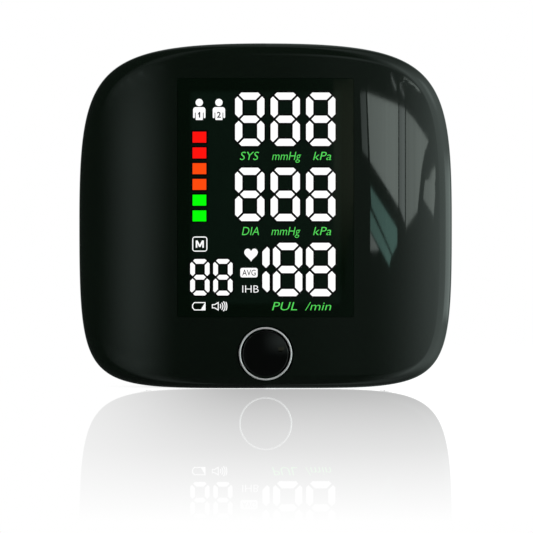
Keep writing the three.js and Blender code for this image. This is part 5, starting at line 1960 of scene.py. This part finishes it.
class MONITOR_OT_inner(Maker, bpy.types.Operator):
    """Finishes of the pieces inside"""

    bl_idname = "monitor.inner"
    bl_label = "Inner finishes"

    PLATED = ("steel", "zinc")
    METAL = ("copper", "chrome_trim")
    ROUGH = {"gloss_plastic": 0.25, "matte_plastic": 0.5, "rubber": 0.7, "fabric": 0.9, "brass": 0.3}
    ROUGH_ELSE = 0.45

    def make(self):
        finishes = {}
        for material in frame["record"]["materials"]:
            name, tint = material["slot"], material["base_color"]
            if name in self.PLATED:
                finishes[name] = plated_steel(f"inner_{name}", tint)
            else:
                rough = self.ROUGH.get(material["class"], self.ROUGH_ELSE)
                finishes[name] = moulded(f"inner_{name}", tint, rough, float(name in self.METAL))
        for part in frame["record"]["subparts"]:
            made = frame["nodes"][part["node"]]
            made.data.materials.clear()
            made.data.materials.append(finishes[part["material_slot"]])


class MONITOR_OT_stage(Maker, bpy.types.Operator):
    """Camera, lamps, world and floor"""

    bl_idname = "monitor.stage"
    bl_label = "Stage"

    VIEW_ACROSS = 111.5 * MM
    VIEW_X = 0.19 * MM
    VIEW_Z = 25.4 * MM
    VIEW_DISTANCE = 3.0
    VIEW_END = 20
    # Room: levels of its lights, with azimuths and heights in degrees where each begins and ends
    ROOM_TINT = (0.84, 1.0, 0.95)
    ROOM_DIM = 0.05
    ROOM_SPREAD = 0.45
    BACK = 0.95
    BACK_TURN = (152, 166)
    BACK_TOP = (8, 28, 1.0, 0.2)
    BACK_FOOT = (-6, -2)
    STRIP = 0.41
    STRIP_TURN = (-30, 0, 14)
    STRIP_TOP = (0.45, 0.95, 1.0, 0.4)
    STRIP_FOOT = (-0.5, -0.2, 0.6, 1.0)
    RIGHT = 1.35
    RIGHT_TURN = 18
    RIGHT_SWEEP = 30
    RIGHT_POWER = 2.2
    RIGHT_END = (80, 150, 1.0, 0.2)
    RIGHT_TOP = (15, 55, 1.0, 0.25)
    # Glows: a level, then in azimuth and in height the middle, the reach of full light and of any light
    GLOWS = (
        (0.42, (18, 0, 24), (12, 0, 16)),
        (1.0, (112, 18, 26), (-1, 2, 5)),
        (0.6, (84, 4, 16), (20, 3, 12)),
    )
    # Lamps: name, place, size and power
    LAMPS = (
        ("key", (0.55, -0.45, 0.95), 0.9, 5.0),
        ("fill", (-0.8, -0.25, 0.7), 0.6, 3.0),
        ("rear", (0.2, 0.9, 0.8), 0.6, 5.0),
    )
    LAMP_AIM = (0, 0, 0.03)
    FLOOR_DROP = 0.08 * MM
    FLOOR_HALF = 2.4
    FLOOR_GREY = (0.8, 0.8, 0.8, 1)
    FOOT_REACH = 31 * MM
    # Share of the floor that mirrors: its start and its loss per metre, the lesser of two lines
    MIRROR_FADES = ((0.517, 0.288), (0.628, 0.4))
    MIRROR_GRAZING = (0.93, 0.975)
    MIRROR_ROUGH = 0.004
    NEAR_REACH = 0.03
    NEAR_SHARE = 0.03
    SHADE_MIDDLE = 22 * MM
    SHADE_ACROSS = 36 * MM
    SHADE_ALONG = 80 * MM
    SHADE_CORE = 0.3
    SHADE = 0.6
    POLISH_LEFT = -38 * MM
    POLISH_FULL = -1 * MM
    POLISH_LEAST = 0.4
    # Panes of light mirrored in the front: a tinted level, and corners in X and Z on it in millimetres
    CARD_TURN = 31
    CARD_DISTANCE = 0.6
    GREY_PANE = (2.6, 3.0, 2.8)
    DIM_PANE = (2.0, 2.3, 2.2)
    TEAL_PANE = (1.1, 2.05, 1.8)
    FAINT_PANE = (0.9, 1.05, 1.0)
    WARM_PANE = (0.42, 0.46, 0.35)
    PANES = (
        (GREY_PANE, ((21.2, 61.6), (27.7, 59.1), (27.7, 37.9), (21.8, 47.3))),
        (DIM_PANE, ((27.9, 59), (29.1, 58.4), (29.1, 34.5), (27.9, 37.9))),
        (GREY_PANE, (
            (29.3, 58), (31.3, 55.9), (34, 51.3), (33.3, 49.2), (32.5, 45), (31.7, 36.9), (29.3, 33.5),
        )),
        (FAINT_PANE, ((19.8, 61.6), (20.9, 61.8), (21.4, 48), (20.2, 49.6))),
        (TEAL_PANE, ((21.85, 42.1), (27.5, 33.3), (27.5, 30), (26.5, 27.9), (22.1, 37.9))),
        (TEAL_PANE, ((21.85, 37.2), (26.3, 27.6), (25.8, 25.6), (23.9, 29.1), (21.85, 33))),
        (DIM_PANE, ((21.85, 32.6), (23.7, 28.8), (21.85, 28.7))),
        (GREY_PANE, ((33.3, 43.4), (35.2, 46.1), (35.4, 40.6), (35, 36), (32.9, 39.6))),
        (GREY_PANE, ((28.9, 64.85), (32.5, 62.65), (32.4, 62.1), (31.9, 62), (28.7, 64.2))),
        (DIM_PANE, ((26, 64.6), (26.3, 64.6), (27.4, 62.4), (27.1, 62.3))),
        (DIM_PANE, ((27.9, 62.9), (28.15, 62.9), (29.1, 61.2), (28.85, 61.1))),
        (WARM_PANE, ((14.2, 63.4), (18.1, 63.4), (18.1, 40), (16.5, 22), (14.2, 22))),
    )
    PANE_FOOT = 0.55
    PANE_SLOPE = (0.72, 0.95)
    STREAK = 0.3
    STREAK_SCALE = 90.0

    def make(self):
        self.camera()
        self.world()
        self.lamps()
        self.floor()
        self.panes()
        bpy.context.scene.view_settings.view_transform = "Standard"

    def camera(self):
        data = bpy.data.cameras.new("camera")
        camera = linked("camera", data)
        outline_y = FRONT + CROWN + EDGE_RADIUS
        camera.location = (self.VIEW_X, outline_y - self.VIEW_DISTANCE, self.VIEW_Z)
        camera.rotation_euler = (math.pi / 2, 0, 0)
        data.lens = data.sensor_width * self.VIEW_DISTANCE / self.VIEW_ACROSS
        data.clip_end = self.VIEW_END
        bpy.context.scene.camera = camera

    def world(self):
        """White behind the object as the camera sees it, and a dim room with soft lights for its gloss."""
        world = bpy.data.worlds.new("room")
        bpy.context.scene.world = world
        world.use_nodes = True
        graph = Graph(world.node_tree)
        shader = world.node_tree.nodes["Background"]
        x, y, z = graph.split(graph.add("ShaderNodeTexCoord", output="Generated"))
        azimuth = x.math("ARCTAN2", x, 0 - y) * (180 / math.pi)
        height = z.math("ARCSINE", z) * (180 / math.pi)
        back = graph.smooth(abs(azimuth), *self.BACK_TURN) * graph.smooth(height, *self.BACK_TOP)
        back = back * graph.smooth(height, *self.BACK_FOOT)
        strip = graph.bell(azimuth, *self.STRIP_TURN)
        strip = strip * graph.smooth(height, *self.STRIP_TOP) * graph.smooth(height, *self.STRIP_FOOT)
        rise = (azimuth - self.RIGHT_TURN).larger(0) / self.RIGHT_SWEEP
        right = rise.math("MINIMUM", rise, 1) ** self.RIGHT_POWER * graph.smooth(azimuth, *self.RIGHT_END)
        right = right * graph.smooth(abs(height), *self.RIGHT_TOP)
        room = self.ROOM_DIM + self.STRIP * strip + self.RIGHT * right + self.BACK * back
        for level, across, up in self.GLOWS:
            room = room + level * graph.bell(azimuth, *across) * graph.bell(height, *up)
        path = graph.add("ShaderNodeLightPath", output=None)
        seen = path["Is Camera Ray"].larger(path["Is Transmission Ray"])
        spread = path["Is Diffuse Ray"]
        level = seen + (1 - seen) * (spread * self.ROOM_SPREAD + (1 - spread) * room)
        mirrored = (1 - seen) * (1 - spread) * (1 - back)
        graph.feed(level, shader.inputs["Strength"])
        graph.feed(graph.blend(mirrored, (1, 1, 1, 1), rgba(self.ROOM_TINT)), shader.inputs["Color"])

    def lamps(self):
        for name, place, size, power in self.LAMPS:
            data = bpy.data.lights.new(name, "AREA")
            data.shape = "SQUARE"
            data.size = size
            data.energy = power
            lamp = linked(name, data)
            lamp.location = place
            lamp.visible_glossy = False
            aim = Vector(self.LAMP_AIM) - Vector(place)
            lamp.rotation_euler = aim.to_track_quat("-Z", "Y").to_euler()

    def staged(self, name, places, build):
        """A flat piece of the stage, with the surface that a function builds in its material."""
        material = bpy.data.materials.new(name)
        material.use_nodes = True
        graph = Graph(material.node_tree)
        nodes = graph.tree.nodes
        nodes.remove(nodes["Principled BSDF"])
        place = graph.split(graph.add("ShaderNodeTexCoord", output="Object"))
        graph.feed(build(graph, *place), nodes["Material Output"].inputs["Surface"])
        skin = Skin()
        skin.panel(places)
        made = piece(skin.mesh(name), name, material)
        return made

    def floor(self):
        """A white floor that mirrors the object close by and fades to plain white."""
        reach = self.FLOOR_HALF
        self.staged("floor", [(x * reach, y * reach, -self.FLOOR_DROP) for x, y in SQUARE], self.ground)

    def ground(self, graph, x, y, z):
        """The floor's surface: what the camera sees of it, and what other rays find there."""
        away = ((x * x + y * y) ** 0.5 - self.FOOT_REACH).larger(0)
        grazing = graph.add("ShaderNodeLayerWeight", None, {"Blend": 0.5}, "Facing")
        fades = [start - loss * away for start, loss in self.MIRROR_FADES]
        share = away.math("MINIMUM", *fades).larger(0) * graph.smooth(grazing, *self.MIRROR_GRAZING)
        share = share * graph.smooth(x, self.POLISH_LEFT, self.POLISH_FULL, self.POLISH_LEAST, 1.0)
        beside = x / self.SHADE_ACROSS
        behind = (y - self.SHADE_MIDDLE) / self.SHADE_ALONG
        beyond = (beside * beside + behind * behind) ** 0.5
        shade = graph.smooth(beyond, self.SHADE_CORE, 1.0, self.SHADE, 0.0)
        near = graph.smooth(away, 0.0, self.NEAR_REACH, self.NEAR_SHARE, 0.0)
        path = graph.add("ShaderNodeLightPath", output=None)
        plain = graph.add("ShaderNodeBsdfDiffuse", None, {"Color": self.FLOOR_GREY})
        white = graph.add("ShaderNodeEmission", None, {"Strength": 1.0})
        clear = graph.add("ShaderNodeBsdfTransparent")
        inputs = {"Color": (1, 1, 1, 1), "Roughness": self.MIRROR_ROUGH}
        mirror = graph.add("ShaderNodeBsdfGlossy", None, inputs)
        seen = graph.mix(share, graph.mix(1 - shade, plain, white), mirror)
        other = graph.mix(path["Is Glossy Ray"], plain, graph.mix(near, clear, white))
        return graph.mix(path["Is Camera Ray"], other, seen)

    def thrown(self, x, z):
        """Where the camera's ray to a place on the front meets the card, once mirrored."""
        turn = math.radians(self.CARD_TURN)
        facing = Vector((math.sin(turn), -math.cos(turn), 0))
        place = Vector((x, face_y(x), z))
        slope = CROWN * CROWN_POWER / HALF * (abs(x) / HALF) ** (CROWN_POWER - 1)
        normal = Vector((math.copysign(slope, x), -1, 0)).normalized()
        ray = (place - bpy.context.scene.camera.location).normalized().reflect(normal)
        return place + ray * (self.CARD_DISTANCE - place.dot(facing)) / ray.dot(facing)

    def panes(self):
        """Bright panes on a card to the right, which only mirrored rays see."""
        for number, (level, corners) in enumerate(self.PANES):
            places = [self.thrown(x * MM, z * MM) for x, z in corners]
            pane = self.staged(f"pane_{number}", places, lambda *terms: self.pane(level, places, *terms))
            pane.visible_camera = False
            pane.visible_diffuse = False
            pane.visible_shadow = False

    def pane(self, level, places, graph, x, y, z):
        """A pane's light, with streaks across it; the warm one fades out at its foot."""
        turn = math.radians(self.CARD_TURN)
        across = [place.x * math.cos(turn) + place.y * math.sin(turn) for place in places]
        foot, top = min(place.z for place in places), max(place.z for place in places)
        along = x * math.cos(turn) + y * math.sin(turn)
        inputs = {"W": along, "Scale": self.STREAK_SCALE, "Detail": 3.0}
        streaks = graph.add("ShaderNodeTexNoise", {"noise_dimensions": "1D"}, inputs, "Fac")
        strength = graph.smooth(along, min(across), max(across), *self.PANE_SLOPE) + self.STREAK * streaks
        if level == self.WARM_PANE:
            strength = strength * graph.smooth(z, foot, foot + self.PANE_FOOT * (top - foot))
        return graph.add("ShaderNodeEmission", None, {"Color": rgba(level), "Strength": strength})


class MONITOR_PT_panel(bpy.types.Panel):
    """Pieces, sizes and colours of the monitor"""

    bl_idname = "MONITOR_PT_panel"
    bl_label = "Wrist monitor"
    bl_space_type = "VIEW_3D"
    bl_region_type = "UI"
    bl_category = "Monitor"

    def draw(self, context):
        for operator in OPERATORS:
            self.layout.operator(operator.bl_idname)
        for group in (context.scene.monitor_sizes, context.scene.monitor_colours):
            box = self.layout.box()
            for name in group.__annotations__:
                box.prop(group, name)


OPERATORS = (
    MONITOR_OT_stage,
    MONITOR_OT_inner,
    MONITOR_OT_shells,
    MONITOR_OT_window,
    MONITOR_OT_button,
    MONITOR_OT_numerals,
    MONITOR_OT_labels,
    MONITOR_OT_symbols,
    MONITOR_OT_screws,
    MONITOR_OT_cuff,
    MONITOR_OT_strap,
    MONITOR_OT_hooks,
)
CLASSES = (MonitorSizes, MonitorColours, *OPERATORS, MONITOR_PT_panel)


def register():
    for kind in CLASSES:
        bpy.utils.register_class(kind)
    bpy.types.Scene.monitor_sizes = bpy.props.PointerProperty(type=MonitorSizes)
    bpy.types.Scene.monitor_colours = bpy.props.PointerProperty(type=MonitorColours)


def unregister():
    del bpy.types.Scene.monitor_colours
    del bpy.types.Scene.monitor_sizes
    for kind in reversed(CLASSES):
        bpy.utils.unregister_class(kind)


def main():
    register()
    bpy.ops.monitor.stage()
    bpy.ops.monitor.inner()
    bpy.ops.monitor.shells()
    bpy.ops.monitor.window()
    bpy.ops.monitor.button()
    bpy.ops.monitor.numerals()
    bpy.ops.monitor.labels()
    bpy.ops.monitor.symbols()
    bpy.ops.monitor.screws()
    bpy.ops.monitor.cuff()
    bpy.ops.monitor.strap()
    bpy.ops.monitor.hooks()


if __name__ == "__main__":
    main()
